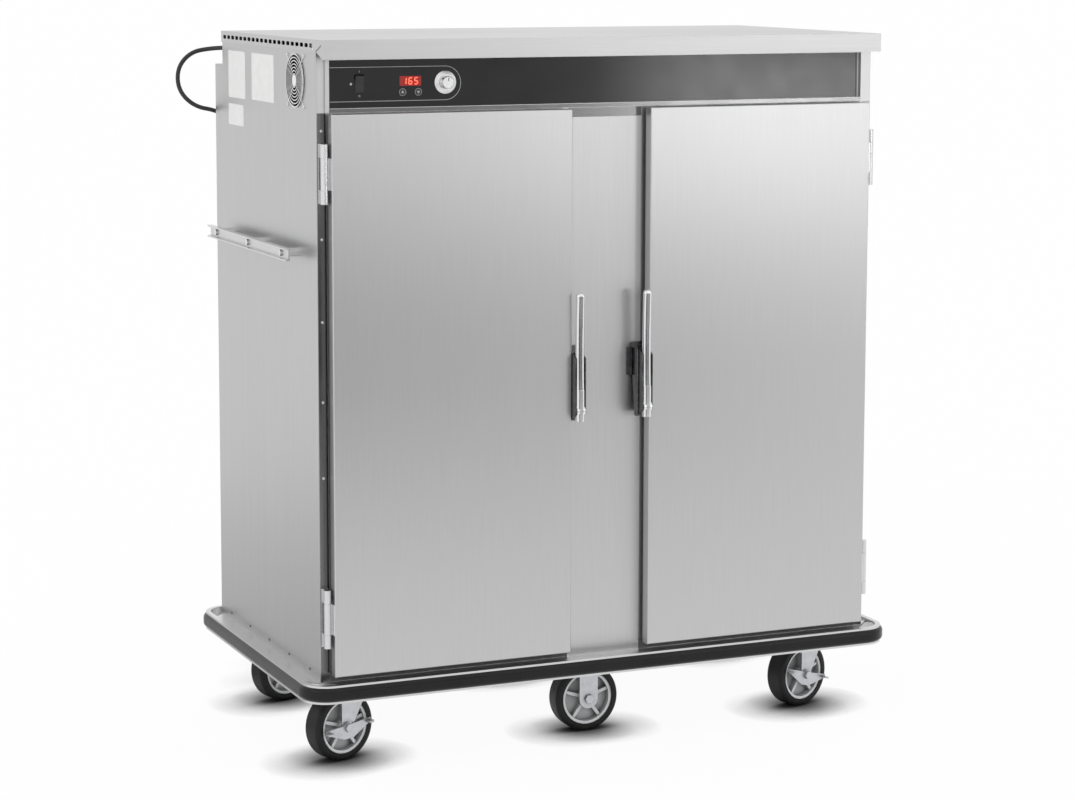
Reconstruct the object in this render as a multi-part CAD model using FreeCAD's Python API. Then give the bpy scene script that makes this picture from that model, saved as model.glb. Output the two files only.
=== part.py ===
import FreeCAD, Part

import math
import os

os.makedirs("parts", exist_ok=True)
Vector = FreeCAD.Vector

# Heated banquet cabinet on casters, in millimetres. X runs along the front, Y from front to back, Z up.
# The floor is Z = 0 and the vertical axis passes through the middle of the bumper's rectangle.

# Cabinet body
body_width = 1305.0
body_depth = 695.0
cabinet_height = 1544.0
deck_plate = 4.0
sheet = 2.0
wall_thickness = 42.0
floor_thickness = 45.0
liner_sheet = 1.5
ledge_drop = 76.0
module_setback = 55.0

# Bumper
side_overhang = 47.5
front_overhang = 61.0
back_overhang = 44.0
bumper_radius = 62.0
channel_depth = 11.0
channel_height = 39.0
channel_web = 3.0
channel_lip = 4.5
channel_drop = 34.0
strip_proud = 6.0
strip_rounding = 9.0
deck_corner_cut = 75.0

# Front frame and control bezel
stile_width = 45.0
frame_depth = 38.0
frame_wall = 2.0
opening_lap = 20.0
mullion_gap = 184.0
mullion_cover = 3.0
mullion_cover_margin = 6.0
mullion_cover_drop = 19.0
fascia_margin = 27.0
fascia_height = 99.0
fascia_plate = 3.0
bezel_proud = 4.0
bezel_width = 9.0
bezel_gap = 1.5
top_rail = 40.5

# Top cap
cap_front_overhang = 41.0
cap_front_flange = 40.0
cap_side_flange = 25.0
cap_slot_length = 21.0
cap_slot_height = 8.5
cap_slot_pitch = 29.0
cap_slot_drop = 13.0
cap_slot_start = 25.0
panel_tuck = 4.0

# Doors
door_floor_gap = 17.0
door_panel = 25.0
door_edge_rounding = 2.5
gasket_thickness = 11.7
gasket_width = 16.0
gasket_inset = 6.0
gasket_rounding = 4.0
inner_pan_proud = 4.0
rest_gap = 0.3

# Hinges
hinge_inset = 123.0
hinge_height = 124.0
hinge_knuckle = 66.0
hinge_axis_inset = 10.0
hinge_axis_offset = 19.5
hinge_barrel_radius = 8.0
hinge_pin_radius = 4.0
hinge_leaf = 2.5
pin_clearance = 0.05

# Lever latches
latch_body_width = 30.0
latch_body_height = 158.0
latch_body_rounding = 3.0
latch_body_taper = 20.0
latch_pivot_height = 746.0
latch_foot_radius = 11.0
latch_foot_gap = 1.0
latch_foot_rise = 46.0
latch_pivot_offset = 49.0
latch_pin_radius = 4.0
latch_cheek = 3.0
latch_button_radius = 5.0
latch_button_proud = 1.2
lever_reach = 255.0
lever_width = 19.0
lever_blade = 10.5
lever_bow = 3.0
lever_tip_radius = 8.0
lever_rounding = 6.5
lever_back_rounding = 1.5
strike_width = 9.0
strike_depth = 14.0
strike_height = 60.0
strike_gap = 1.5

# Push handle
handle_length = 549.0
handle_height = 26.0
handle_centre_height = 1096.0
handle_standoff = 35.0
handle_flange = 12.0
handle_web = 3.0
handle_bolt_pitch = 227.0
handle_spacer_radius = 9.0
handle_bolt_radius = 7.0
handle_bolt_head = 4.0

# Cooling fan in the left side
fan_setback = 127.0
fan_drop = 89.0
fan_size = 119.0
fan_depth = 38.0
fan_wall = 4.5
fan_floor_gap = 2.0
fan_screw_pitch = 105.0
fan_hub_radius = 22.0
fan_blade_count = 7
fan_root_pitch = 30.0
fan_tip_pitch = 62.0
fan_blade_sheet = 2.0
fan_blade_chord = 27.0
fan_tip_clearance = 2.0
fan_motor_depth = 14.0
fan_shaft_radius = 3.0
fan_strut = 6.0
guard_wire = 2.0
guard_ring_count = 7
guard_inner_ring = 14.0

# Controls, placed from the left side of the body
rocker_left = 93.0
rocker_width = 19.0
rocker_radius = 19.0
rocker_tilt = 10.0
rocker_body = 6.0
rocker_proud = 1.0
key_spacing = 95.0
key_pitch = 35.0
key_radius = 8.3
key_rise = 31.0
key_proud = 1.2
key_travel = 1.0
knob_spacing = 60.0
knob_skirt_radius = 24.0
knob_skirt = 5.0
knob_step = 2.0
knob_crown = 1.0
knob_grip_radius = 14.0
knob_grip = 16.0
knob_flutes = 9
knob_flute_radius = 3.2
knob_shaft_radius = 3.0
control_rise = 50.0
control_clearance = 0.3

# Inside
shelf_levels = 3
shelf_bar = 7.0
shelf_wire = 5.0
shelf_wire_pitch = 55.0
ledge_width = 14.0
ledge_sheet = 3.0
partition_gap = 60.0
shelf_side_gap = 1.0
heater_radius = 4.0
heater_bend = 24.0
heater_passes = 6
heater_lift = 16.0
heater_clip = 12.0
heater_run = 380.0

# Casters
wheel_radius = 75.0
tyre_width = 48.0
tyre_depth = 16.0
tyre_rounding = 9.0
hub_bore_clearance = 0.05
hub_barrel_radius = 15.0
hub_rim = 6.0
hub_rim_width = 42.0
hub_web = 8.0
hub_ribs = 5
hub_rib_width = 7.0
hub_rib_depth = 34.0
axle_radius = 6.0
axle_head_radius = 10.0
axle_head = 6.0
wheel_side_gap = 3.0
fork_leg = 4.0
fork_crown = 6.0
fork_wheel_clearance = 7.5
race_radius = 27.0
race_lap = 2.0
race_height = 6.0
kingpin_radius = 6.0
kingpin_head_radius = 10.0
kingpin_head = 4.5
upper_race = 5.7
caster_plate = 4.0
caster_plate_x = 100.0
caster_plate_y = 85.0
caster_inset_x = 94.0
caster_inset_y = 100.0
caster_trail = 22.0
caster_turn = 17.0
swivel_leg_half = 14.0
leg_shoulder_drop = 22.0
rigid_leg_half = 22.0
rail_height = 13.0
rail_margin = 18.0
rail_wall = 3.0
pedal_plate = 4.0
pedal_reach = 60.0
pedal_belly = 24.0
pedal_lift = 3.0
pedal_tab = 15.0
pedal_tilt_left = -6.0
pedal_tilt_right = 15.0

# Mains lead
cord_radius = 5.0
gland_left = 35.0
gland_drop = 41.0
gland_length = 30.0
gland_base_radius = 13.0
gland_neck_radius = 9.0
gland_wall = 1.5
coil_start_radius = 66.0
coil_gap = 0.7
coil_turns = 2.5
coil_tail = 34.0
cord_hang_points = 9
cord_hang_bow = 24.0
cord_foot_left = 92.0
cord_foot_height = 212.0
cord_back_gap = 29.0
plug_floor_gap = 0.7
plug_body = 32.0
plug_neck = 18.0
plug_blade_length = 17.0
plug_blade_width = 6.4
plug_blade_sheet = 1.6
plug_pin_radius = 2.4

# Places worked out from the sizes above
crown_low = 2 * wheel_radius + fork_wheel_clearance
crown_top = crown_low + fork_crown
caster_height = crown_top + race_height + rest_gap + upper_race + caster_plate
deck_height = caster_height + rail_height + deck_plate
body_left = -body_width / 2
body_right = body_width / 2
bumper_half_x = body_width / 2 + side_overhang
bumper_half_y = (body_depth + front_overhang + back_overhang) / 2
body_front = front_overhang - bumper_half_y
body_back = body_front + body_depth
module_back = body_back - module_setback
ledge_height = cabinet_height - ledge_drop
cap_under = cabinet_height - sheet
side_panel_top = cabinet_height - cap_side_flange + panel_tuck
channel_bottom = deck_height - channel_drop
fascia_top = cap_under - top_rail
fascia_low = fascia_top - fascia_height
bezel_low = fascia_low - bezel_width
door_left = body_left + hinge_axis_inset + hinge_barrel_radius + hinge_leaf
door_right = -mullion_gap / 2
door_low = deck_height + door_floor_gap
door_top = bezel_low - bezel_gap
door_back = body_front - rest_gap - gasket_thickness
door_front = door_back - door_panel
opening_low = door_low + opening_lap
opening_top = door_top - opening_lap
mullion_half = mullion_gap / 2 + opening_lap
control_height = fascia_low + control_rise
key_height = fascia_low + key_rise
key_left_a = rocker_left + key_spacing
key_left_b = key_left_a + key_pitch
knob_left = key_left_b + knob_spacing
fan_centre_height = cabinet_height - fan_drop
fan_duct_radius = fan_size / 2 - fan_wall
gland_height = cabinet_height - gland_drop
gland_tip_radius = cord_radius + gland_wall
coil_pitch = 2 * cord_radius + coil_gap
plug_radius = cord_radius + coil_pitch - plug_floor_gap
cavity_left = body_left + wall_thickness
cavity_front = body_front + frame_depth
cavity_back = body_back - wall_thickness
cavity_low = deck_height + floor_thickness
cavity_top = opening_top - frame_wall
caster_front = body_front + caster_inset_y
caster_back = body_back - caster_inset_y
caster_right = body_right - caster_inset_x
strip_seat = channel_depth + strip_proud - channel_web
channel_inside = channel_depth + strip_proud

made = {}


def box(low, high):
    """Block between two opposite corners."""
    return Part.makeBox(high[0] - low[0], high[1] - low[1], high[2] - low[2], Vector(*low))


def prism(points, travel):
    """Outline of straight edges pushed along one direction."""
    corners = [Vector(*point) for point in points]
    return Part.Face(Part.makePolygon(corners + corners[:1])).extrude(Vector(*travel))


def rod(start, end, radius):
    """Round bar between two points."""
    run = Vector(*end) - Vector(*start)
    return Part.makeCylinder(radius, run.Length, Vector(*start), run)


def fuse(solids):
    """One solid made of several, without seams on shared planes."""
    return solids[0].multiFuse(solids[1:]).removeSplitter()


def edges_along(shape, direction):
    """Straight edges of a shape that run along one direction."""
    chosen = []
    for edge in shape.Edges:
        along = edge.tangentAt(edge.FirstParameter)
        if edge.Curve.TypeId == "Part::GeomLine" and abs(along.dot(Vector(*direction))) > 0.999:
            chosen.append(edge)
    return chosen


def rounded_slab(half_x, half_y, radius, low, high):
    """Flat slab with round corners, centred on the vertical axis."""
    slab = box((-half_x, -half_y, low), (half_x, half_y, high))
    return slab.makeFillet(radius, edges_along(slab, (0, 0, 1)))


def bumper_slab(inset, low, high):
    """Slab with the bumper's outline, drawn in by an inset."""
    return rounded_slab(bumper_half_x - inset, bumper_half_y - inset, bumper_radius - inset, low, high)


def tube_member(low, high, along):
    """Square tube between two corners, open at the ends of the axis it runs along."""
    inner_low = [a if axis == along else a + frame_wall for axis, a in enumerate(low)]
    inner_high = [a if axis == along else a - frame_wall for axis, a in enumerate(high)]
    return box(low, high).cut(box(inner_low, inner_high))


def mirrored(shape):
    """Copy on the other side of the middle plane."""
    return shape.mirror(Vector(0, 0, 0), Vector(1, 0, 0))


def save(name, solids):
    """Writes one node, with all its solids."""
    group = []
    for shape in solids:
        group.extend(shape.Solids)
    shape = group[0] if len(group) == 1 else Part.makeCompound(group)
    shape.exportStep("parts/" + name + ".step")
    made[name] = len(group)


def make_base():
    """Deck plate with open corners, the two caster rails under it, and the bumper."""
    half_x = bumper_half_x - channel_inside
    half_y = bumper_half_y - channel_inside
    cut = deck_corner_cut
    low = deck_height - deck_plate
    outline = []
    for sign_x, sign_y, x_first in ((1, 1, True), (-1, 1, False), (-1, -1, True), (1, -1, False)):
        on_side = (sign_x * half_x, sign_y * (half_y - cut), low)
        on_end = (sign_x * (half_x - cut), sign_y * half_y, low)
        outline += [on_side, on_end] if x_first else [on_end, on_side]
    solids = [prism(outline, (0, 0, deck_plate))]
    half_rail = caster_plate_y / 2 + rail_margin
    for row in (caster_front, caster_back):
        outer_low = (body_left + rail_margin, row - half_rail, caster_height)
        outer_high = (body_right - rail_margin, row + half_rail, low)
        inner_low = (outer_low[0], outer_low[1] + rail_wall, outer_low[2] + rail_wall)
        inner_high = (outer_high[0], outer_high[1] - rail_wall, outer_high[2] - rail_wall)
        solids.append(box(outer_low, outer_high).cut(box(inner_low, inner_high)))
    save("base_deck", solids)

    top = channel_bottom + channel_height
    groove_low = channel_bottom + channel_lip
    groove_top = top - channel_lip
    ring = bumper_slab(strip_proud, channel_bottom, top).cut(bumper_slab(channel_inside, channel_bottom, top))
    groove = bumper_slab(0, groove_low, groove_top).cut(bumper_slab(strip_seat, groove_low, groove_top))
    save("bumper_channel", [ring.cut(groove)])

    strip = bumper_slab(0, groove_low, groove_top)
    rims = [edge for edge in strip.Edges if edge.BoundBox.ZLength < 0.001]
    strip = strip.makeFillet(min(strip_rounding, (groove_top - groove_low) / 2.2), rims)
    save("bumper_strip", [strip.cut(bumper_slab(strip_seat, groove_low, groove_top))])


def side_panel(left):
    """Side skin with the step at the back of the control module."""
    outline = [
        (left, body_front, deck_height),
        (left, body_back, deck_height),
        (left, body_back, ledge_height),
        (left, module_back, ledge_height),
        (left, module_back, side_panel_top),
        (left, body_front, side_panel_top),
    ]
    return prism(outline, (sheet, 0, 0))


def make_skins():
    """Side panels, and the back panel bent twice round the step."""
    fan_hole = rod(
        (body_left, body_front + fan_setback, fan_centre_height),
        (body_left + sheet, body_front + fan_setback, fan_centre_height),
        fan_duct_radius,
    )
    save("side_panel_left", [side_panel(body_left).cut(fan_hole)])
    save("side_panel_right", [side_panel(body_right - sheet)])

    left = body_left + sheet
    outline = [
        (left, body_back - sheet, deck_height),
        (left, body_back, deck_height),
        (left, body_back, ledge_height),
        (left, module_back, ledge_height),
        (left, module_back, side_panel_top),
        (left, module_back - sheet, side_panel_top),
        (left, module_back - sheet, ledge_height - sheet),
        (left, body_back - sheet, ledge_height - sheet),
    ]
    back = prism(outline, (body_width - 2 * sheet, 0, 0))
    gland_x = body_left + gland_left
    hole_start = (gland_x, module_back - sheet, gland_height)
    hole_end = (gland_x, module_back, gland_height)
    save("back_panel", [back.cut(rod(hole_start, hole_end, gland_neck_radius))])


def make_inside():
    """Liner panels with shelf ledges, insulation between liner and skin, wire shelves and heating element."""
    skin = liner_sheet
    right = -cavity_left
    far_left = cavity_left - skin
    far_back = cavity_back + skin
    wall = box((far_left, cavity_front, cavity_low), (cavity_left, cavity_back, cavity_top))
    partition_low = (-skin, cavity_front, cavity_low + partition_gap)
    panels = [
        wall,
        mirrored(wall),
        box((far_left, cavity_back, cavity_low), (-far_left, far_back, cavity_top)),
        box((far_left, cavity_front, cavity_low - skin), (-far_left, far_back, cavity_low)),
        box((far_left, cavity_front, cavity_top), (-far_left, far_back, cavity_top + skin)),
        box(partition_low, (skin, cavity_back, cavity_top - partition_gap)),
    ]
    space = (cavity_top - cavity_low) / (shelf_levels + 1)
    ledges = []
    shelves = []
    for level in range(1, shelf_levels + 1):
        height = cavity_low + level * space
        for start in (cavity_left, -skin - ledge_width, skin, right - ledge_width):
            low = (start, cavity_front, height - ledge_sheet)
            ledges.append(box(low, (start + ledge_width, cavity_back, height)))
        shelf = wire_shelf(cavity_left + shelf_side_gap, -skin - shelf_side_gap, height)
        shelves += [shelf, mirrored(shelf)]
    save("inner_liner", panels + ledges)
    save("wire_shelves", shelves)

    outer = body_left + sheet
    top = fan_centre_height - fan_size / 2 - fan_floor_gap
    side = box((outer, cavity_front, deck_height), (far_left, body_back - sheet, top))
    slabs = [
        side,
        mirrored(side),
        box((far_left, far_back, deck_height), (-far_left, body_back - sheet, top)),
        box((far_left, cavity_front, deck_height), (-far_left, far_back, cavity_low - skin)),
        box((far_left, cavity_front, cavity_top + skin), (-far_left, far_back, top)),
    ]
    save("wall_insulation", slabs)
    make_heater()


def wire_shelf(left, right, height):
    """Two crossbars with wires laid over them from front to back."""
    front = cavity_front + shelf_bar
    back = cavity_back - shelf_bar
    bars = []
    for start in (front, back - shelf_bar):
        bars.append(box((left, start, height), (right, start + shelf_bar, height + shelf_bar)))
    count = max(2, round((right - left) / shelf_wire_pitch))
    step = (right - left - shelf_wire) / count
    for index in range(count + 1):
        start = left + index * step
        low = (start, front, height + shelf_bar - shelf_wire)
        bars.append(box(low, (start + shelf_wire, back, height + shelf_bar)))
    return fuse(bars)


def make_heater():
    """Tubular element bent to and fro above the liner floor, held in two clips."""
    height = cavity_low + heater_lift
    front = cavity_back - heater_run
    half = (heater_passes - 1) * heater_bend / 2
    edges = []
    for index in range(heater_passes):
        x = index * heater_bend - half
        last = index in (0, heater_passes - 1)
        near = Vector(x, front, height)
        far = Vector(x, cavity_back if last else cavity_back - heater_bend, height)
        forward = index % 2 == 0
        edges.append(Part.LineSegment(far if forward else near, near if forward else far).toShape())
        if index < heater_passes - 1:
            end = near if forward else far
            bulge = -heater_bend / 2 if forward else heater_bend / 2
            middle = Vector(x + heater_bend / 2, end.y + bulge, height)
            following = Vector(x + heater_bend, end.y, height)
            edges.append(Part.Arc(end, middle, following).toShape())
    path = Part.Wire(edges)
    start = path.OrderedVertexes[0].Point
    section = Part.Wire(Part.makeCircle(heater_radius, start, Vector(0, 1, 0)))
    element = path.makePipeShell([section], True, False)
    clips = []
    middle = (front + cavity_back) / 2
    for share in (-1, 1):
        y = middle + share * heater_run / 4
        low = (-half - 2 * heater_radius, y - heater_clip / 2, cavity_low)
        clip = box(low, (half + 2 * heater_radius, y + heater_clip / 2, height + heater_radius))
        for index in range(heater_passes):
            x = index * heater_bend - half
            clip = clip.cut(rod((x, y - heater_clip, height), (x, y + heater_clip, height), heater_radius))
            slot = (x - heater_radius, y - heater_clip, height)
            clip = clip.cut(box(slot, (x + heater_radius, y + heater_clip, height + 2 * heater_radius)))
        clips.append(clip)
    save("heater_element", [element] + clips)


def make_front_frame():
    """Stiles, rails and mullion as square tubes, the mullion's cover and the bezel round the controls."""
    back = body_front + frame_depth
    inner = body_left + stile_width
    stile = tube_member((body_left + sheet, body_front, deck_height), (inner, back, cap_under), 2)
    half_gap = mullion_gap / 2 - mullion_cover_margin
    half_bezel = body_width / 2 - fascia_margin + bezel_width
    bezel_top = fascia_top + bezel_width
    window = body_width / 2 - fascia_margin
    bezel_face = body_front - bezel_proud
    upright = box((-half_bezel, bezel_face, fascia_low), (-window, body_front, fascia_top))
    cover_low = (-half_gap, body_front - mullion_cover, deck_height)
    cover_high = (half_gap, body_front, door_top - mullion_cover_drop)
    solids = [
        stile,
        mirrored(stile),
        tube_member((inner, body_front, deck_height), (-inner, back, opening_low), 0),
        tube_member((inner, body_front, opening_top), (-inner, back, fascia_low), 0),
        tube_member((inner, body_front, fascia_top), (-inner, back, cap_under), 0),
        tube_member((-mullion_half, body_front, opening_low), (mullion_half, back, opening_top), 2),
        box(cover_low, cover_high),
        box((-half_bezel, bezel_face, bezel_low), (half_bezel, body_front, fascia_low)),
        box((-half_bezel, bezel_face, fascia_top), (half_bezel, body_front, bezel_top)),
        upright,
        mirrored(upright),
    ]
    save("front_frame", solids)


def make_cap():
    """Top sheet, a deep visor closed at its ends, side flanges with a row of vent slots, a back flange."""
    half = body_width / 2 + sheet
    front = body_front - cap_front_overhang
    back = module_back + sheet
    flange_low = cabinet_height - cap_side_flange
    side = [
        (-half, front, cabinet_height),
        (-half, back, cabinet_height),
        (-half, back, flange_low),
        (-half, body_front, flange_low),
        (-half, front, cabinet_height - cap_side_flange / 3),
    ]
    flange = prism(side, (sheet, 0, 0))
    closing = [
        (sheet - half, front, cap_under),
        (sheet - half, body_front, cap_under),
        (sheet - half, body_front, flange_low),
        (sheet - half, front, cabinet_height - cap_front_flange),
    ]
    gusset = prism(closing, (sheet, 0, 0))
    run = module_back - body_front - 2 * cap_slot_start
    count = int(run / cap_slot_pitch)
    middle = cabinet_height - cap_slot_drop
    for index in range(count + 1):
        y = body_front + cap_slot_start + index * run / count
        flange = flange.cut(vent_slot(-half, y, middle))
    pieces = [
        box((-half, front, cap_under), (half, back, cabinet_height)),
        box((-half, front, cabinet_height - cap_front_flange), (half, front + sheet, cabinet_height)),
        box((-half, module_back, flange_low), (half, back, cabinet_height)),
        flange,
        gusset,
        mirrored(flange),
        mirrored(gusset),
    ]
    save("top_cap", [fuse(pieces)])


def vent_slot(x, y, z):
    """Cutter for one long slot with angled ends."""
    half = cap_slot_length / 2
    rise = cap_slot_height / 2
    flat = half - rise * 0.7
    outline = [
        (x, y - half, z - rise * 0.4),
        (x, y - flat, z - rise),
        (x, y + flat, z - rise),
        (x, y + half, z - rise * 0.4),
        (x, y + half, z + rise * 0.4),
        (x, y + flat, z + rise),
        (x, y - flat, z + rise),
        (x, y - half, z + rise * 0.4),
    ]
    return prism(outline, (sheet, 0, 0))


def make_controls():
    """Black fascia with its cut-outs, rocker switch, two round keys and thermostat knob."""
    half = body_width / 2 - fascia_margin
    front = body_front - fascia_plate
    fascia = box((-half, front, fascia_low), (half, body_front, fascia_top))
    rocker_x = body_left + rocker_left
    reach = rocker_radius + control_clearance
    wide = rocker_width / 2 + control_clearance
    slot_low = (rocker_x - wide, front, control_height - reach)
    slot = box(slot_low, (rocker_x + wide, body_front, control_height + reach))
    knob_x = body_left + knob_left
    shaft_hole = rod(
        (knob_x, front, control_height),
        (knob_x, body_front, control_height),
        knob_shaft_radius + pin_clearance,
    )
    fascia = fascia.cut(slot).cut(shaft_hole)
    for name, left in (("key_up", key_left_a), ("key_down", key_left_b)):
        x = body_left + left
        hole_radius = key_radius + control_clearance
        fascia = fascia.cut(rod((x, front, key_height), (x, body_front, key_height), hole_radius))
        stem = body_front + 2 * key_travel
        key = rod((x, front - key_proud, key_height), (x, stem, key_height), key_radius)
        rim = [edge for edge in key.Edges if edge.BoundBox.YMax < front]
        save(name, [key.makeChamfer(key_proud / 3, rim)])
    save("control_fascia", [fascia])
    make_rocker(rocker_x, front)
    make_knob(knob_x, front)


def make_rocker(x, front):
    """Switch paddle with a shallow V face and round ends, tipped to its off side about its pivot."""
    half = rocker_width / 2
    centre = Vector(x, body_front, control_height)
    barrel = rod((x - half, centre.y, centre.z), (x + half, centre.y, centre.z), rocker_radius)
    face = front - rocker_proud
    end = face - math.tan(math.radians(rocker_tilt)) * rocker_radius
    keep = [
        (x - half, end, centre.z - rocker_radius),
        (x - half, face, centre.z),
        (x - half, end, centre.z + rocker_radius),
        (x - half, centre.y + rocker_body, centre.z + rocker_radius),
        (x - half, centre.y + rocker_body, centre.z - rocker_radius),
    ]
    paddle = barrel.common(prism(keep, (rocker_width, 0, 0)))
    paddle.rotate(centre, Vector(1, 0, 0), rocker_tilt)
    save("rocker_switch", [paddle])


def make_knob(x, front):
    """Skirted knob with a fluted grip on a shaft through the fascia."""
    seat = front - control_clearance
    skirt_end = seat - knob_skirt
    grip_end = skirt_end - knob_grip
    rim = knob_skirt_radius
    profile = [
        (x, seat, control_height),
        (x + rim, seat, control_height),
        (x + rim, seat - knob_skirt / 3, control_height),
        (x + knob_grip_radius + knob_step, skirt_end, control_height),
        (x + knob_grip_radius, skirt_end, control_height),
        (x + knob_grip_radius * 0.9, grip_end + knob_crown, control_height),
        (x + knob_grip_radius * 0.8, grip_end, control_height),
        (x, grip_end, control_height),
    ]
    corners = [Vector(*point) for point in profile]
    face = Part.Face(Part.makePolygon(corners + corners[:1]))
    knob = face.revolve(Vector(x, 0, control_height), Vector(0, 1, 0), 360)
    for index in range(knob_flutes):
        angle = 2 * math.pi * index / knob_flutes
        ring = knob_grip_radius + knob_flute_radius / 2
        flute_x = x + ring * math.cos(angle)
        flute_z = control_height + ring * math.sin(angle)
        knob = knob.cut(rod((flute_x, grip_end, flute_z), (flute_x, skirt_end, flute_z), knob_flute_radius))
    shaft_end = (x, body_front + frame_depth / 3, control_height)
    shaft = rod((x, seat, control_height), shaft_end, knob_shaft_radius)
    save("thermostat_knob", [knob.fuse(shaft)])


def make_doors():
    """Left door pieces, and their mirror copies for the right door."""
    low = (door_left, door_front, door_low)
    high = (door_right, door_back, door_top)
    skin = box(low, high)
    outer_edges = [edge for edge in skin.Edges if edge.BoundBox.YMax < door_front + 0.001]
    skin = skin.makeFillet(door_edge_rounding, outer_edges)
    hollow_low = (door_left + sheet, door_front + sheet, door_low + sheet)
    hollow_high = (door_right - sheet, door_back, door_top - sheet)
    skin = skin.cut(box(hollow_low, hollow_high))

    def frame_block(inset, start, end):
        near = (door_left + inset, start, door_low + inset)
        return box(near, (door_right - inset, end, door_top - inset))

    inner = gasket_inset + gasket_width + 2 * gasket_rounding
    raised = frame_block(inner, door_back, door_back + inner_pan_proud)
    face_edges = [edge for edge in raised.Edges if edge.BoundBox.YMin > door_back + 0.001]
    raised = raised.makeChamfer(inner_pan_proud * 0.9, face_edges)
    pan = fuse([frame_block(sheet, door_back - sheet, door_back), raised])
    hollow_end = door_back + inner_pan_proud - sheet
    pan = pan.cut(frame_block(inner + inner_pan_proud, door_back - sheet, hollow_end))

    gasket_end = body_front - rest_gap
    gasket = frame_block(gasket_inset, door_back, gasket_end)
    lips = [edge for edge in gasket.Edges if edge.BoundBox.YMin > gasket_end - 0.001]
    gasket = gasket.makeFillet(gasket_rounding, lips)
    gasket = gasket.cut(frame_block(gasket_inset + gasket_width, door_back, gasket_end))

    leaves = []
    frame_side = []
    for height in (door_low + hinge_inset, door_top - hinge_inset):
        leaf, frame_leaf, pin = hinge(height)
        leaves.append(leaf)
        frame_side += [frame_leaf, pin]
    body, pin, lever, strike = latch()
    for name, solids in (
        ("skin", [skin]),
        ("inner_pan", [pan]),
        ("gasket", [gasket]),
        ("hinge_leaves", leaves),
        ("latch_body", [body, pin]),
        ("latch_lever", [lever]),
    ):
        save("door_left_" + name, solids)
        save("door_right_" + name, [mirrored(solid) for solid in solids])
    save("frame_hinges", frame_side + [mirrored(solid) for solid in frame_side])
    save("latch_strikes", [strike, mirrored(strike)])


def hinge(height):
    """Three-knuckle hinge: the door's leaf, the frame's leaf and the pin."""
    x = body_left + hinge_axis_inset
    y = body_front - hinge_axis_offset
    radius = hinge_barrel_radius
    half = hinge_knuckle / 2
    end = hinge_height / 2
    reach = radius * 0.6

    knuckle = rod((x, y, height - half), (x, y, height + half), radius)
    web = box((x, y - reach, height - half), (door_left, y + reach, height + half))
    plate_low = (door_left - hinge_leaf, door_front + hinge_leaf, height - half)
    plate = box(plate_low, (door_left, door_back, height + half))
    bore = rod((x, y, height - half), (x, y, height + half), hinge_pin_radius + pin_clearance)
    leaf = fuse([knuckle, web, plate]).cut(bore)

    leaf_low = (x - radius, body_front - hinge_leaf, height - end)
    pieces = [box(leaf_low, (x + radius, body_front, height + end))]
    for low, high in ((-end, -half - rest_gap), (half + rest_gap, end)):
        pieces.append(rod((x, y, height + low), (x, y, height + high), radius))
        pieces.append(box((x - reach, y, height + low), (x + reach, body_front, height + high)))
    pin_low = (x, y, height - end)
    pin_high = (x, y, height + end)
    pin = rod(pin_low, pin_high, hinge_pin_radius)
    frame_leaf = fuse(pieces).cut(pin)
    return leaf, frame_leaf, pin


def latch():
    """Edge-mounted latch: wedge body on the door's edge, pivot pin, lever and the strike on the mullion."""
    left = door_right
    right = door_right + latch_body_width
    pivot_y = body_front - latch_pivot_offset
    pivot_z = latch_pivot_height
    foot = latch_foot_radius
    face = pivot_y + foot + latch_foot_gap
    rear = body_front - mullion_cover - 2 * strike_gap
    low = pivot_z - 2 * foot
    top = low + latch_body_height
    outline = [
        (left, face, low),
        (left, face, top - foot),
        (left, rear, top),
        (left, rear - latch_body_taper, low),
    ]
    body = prism(outline, (latch_body_width, 0, 0))
    body = body.makeFillet(latch_body_rounding, edges_along(body, (0, 0, 1)))
    root = face + latch_body_rounding
    front = pivot_y - foot / 2
    ear = [
        (left, root, low),
        (left, front, pivot_z - foot / 2),
        (left, front, top - 2 * foot),
        (left, root, top - foot),
    ]
    cheek = prism(ear, (latch_cheek, 0, 0))
    far_cheek = cheek.copy()
    far_cheek.translate(Vector(latch_cheek + lever_width + 2 * rest_gap, 0, 0))
    pin_end = left + 2 * latch_cheek + lever_width + 2 * rest_gap
    pin = rod((left, pivot_y, pivot_z), (pin_end, pivot_y, pivot_z), latch_pin_radius)
    body = fuse([body, cheek, far_cheek]).cut(pin)

    strike_left = right + strike_gap
    cover = body_front - mullion_cover
    strike_low = top - strike_height - foot
    strike_outline = [
        (strike_left, cover, strike_low),
        (strike_left + strike_width, cover, strike_low),
        (strike_left + strike_width, cover - strike_depth / 3, strike_low),
        (strike_left + strike_width / 2, cover - strike_depth, strike_low),
        (strike_left, cover - strike_depth, strike_low),
    ]
    strike = prism(strike_outline, (0, 0, strike_height))
    return body, pin, latch_lever(left + latch_cheek + rest_gap, pivot_y, pivot_z), strike


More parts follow.
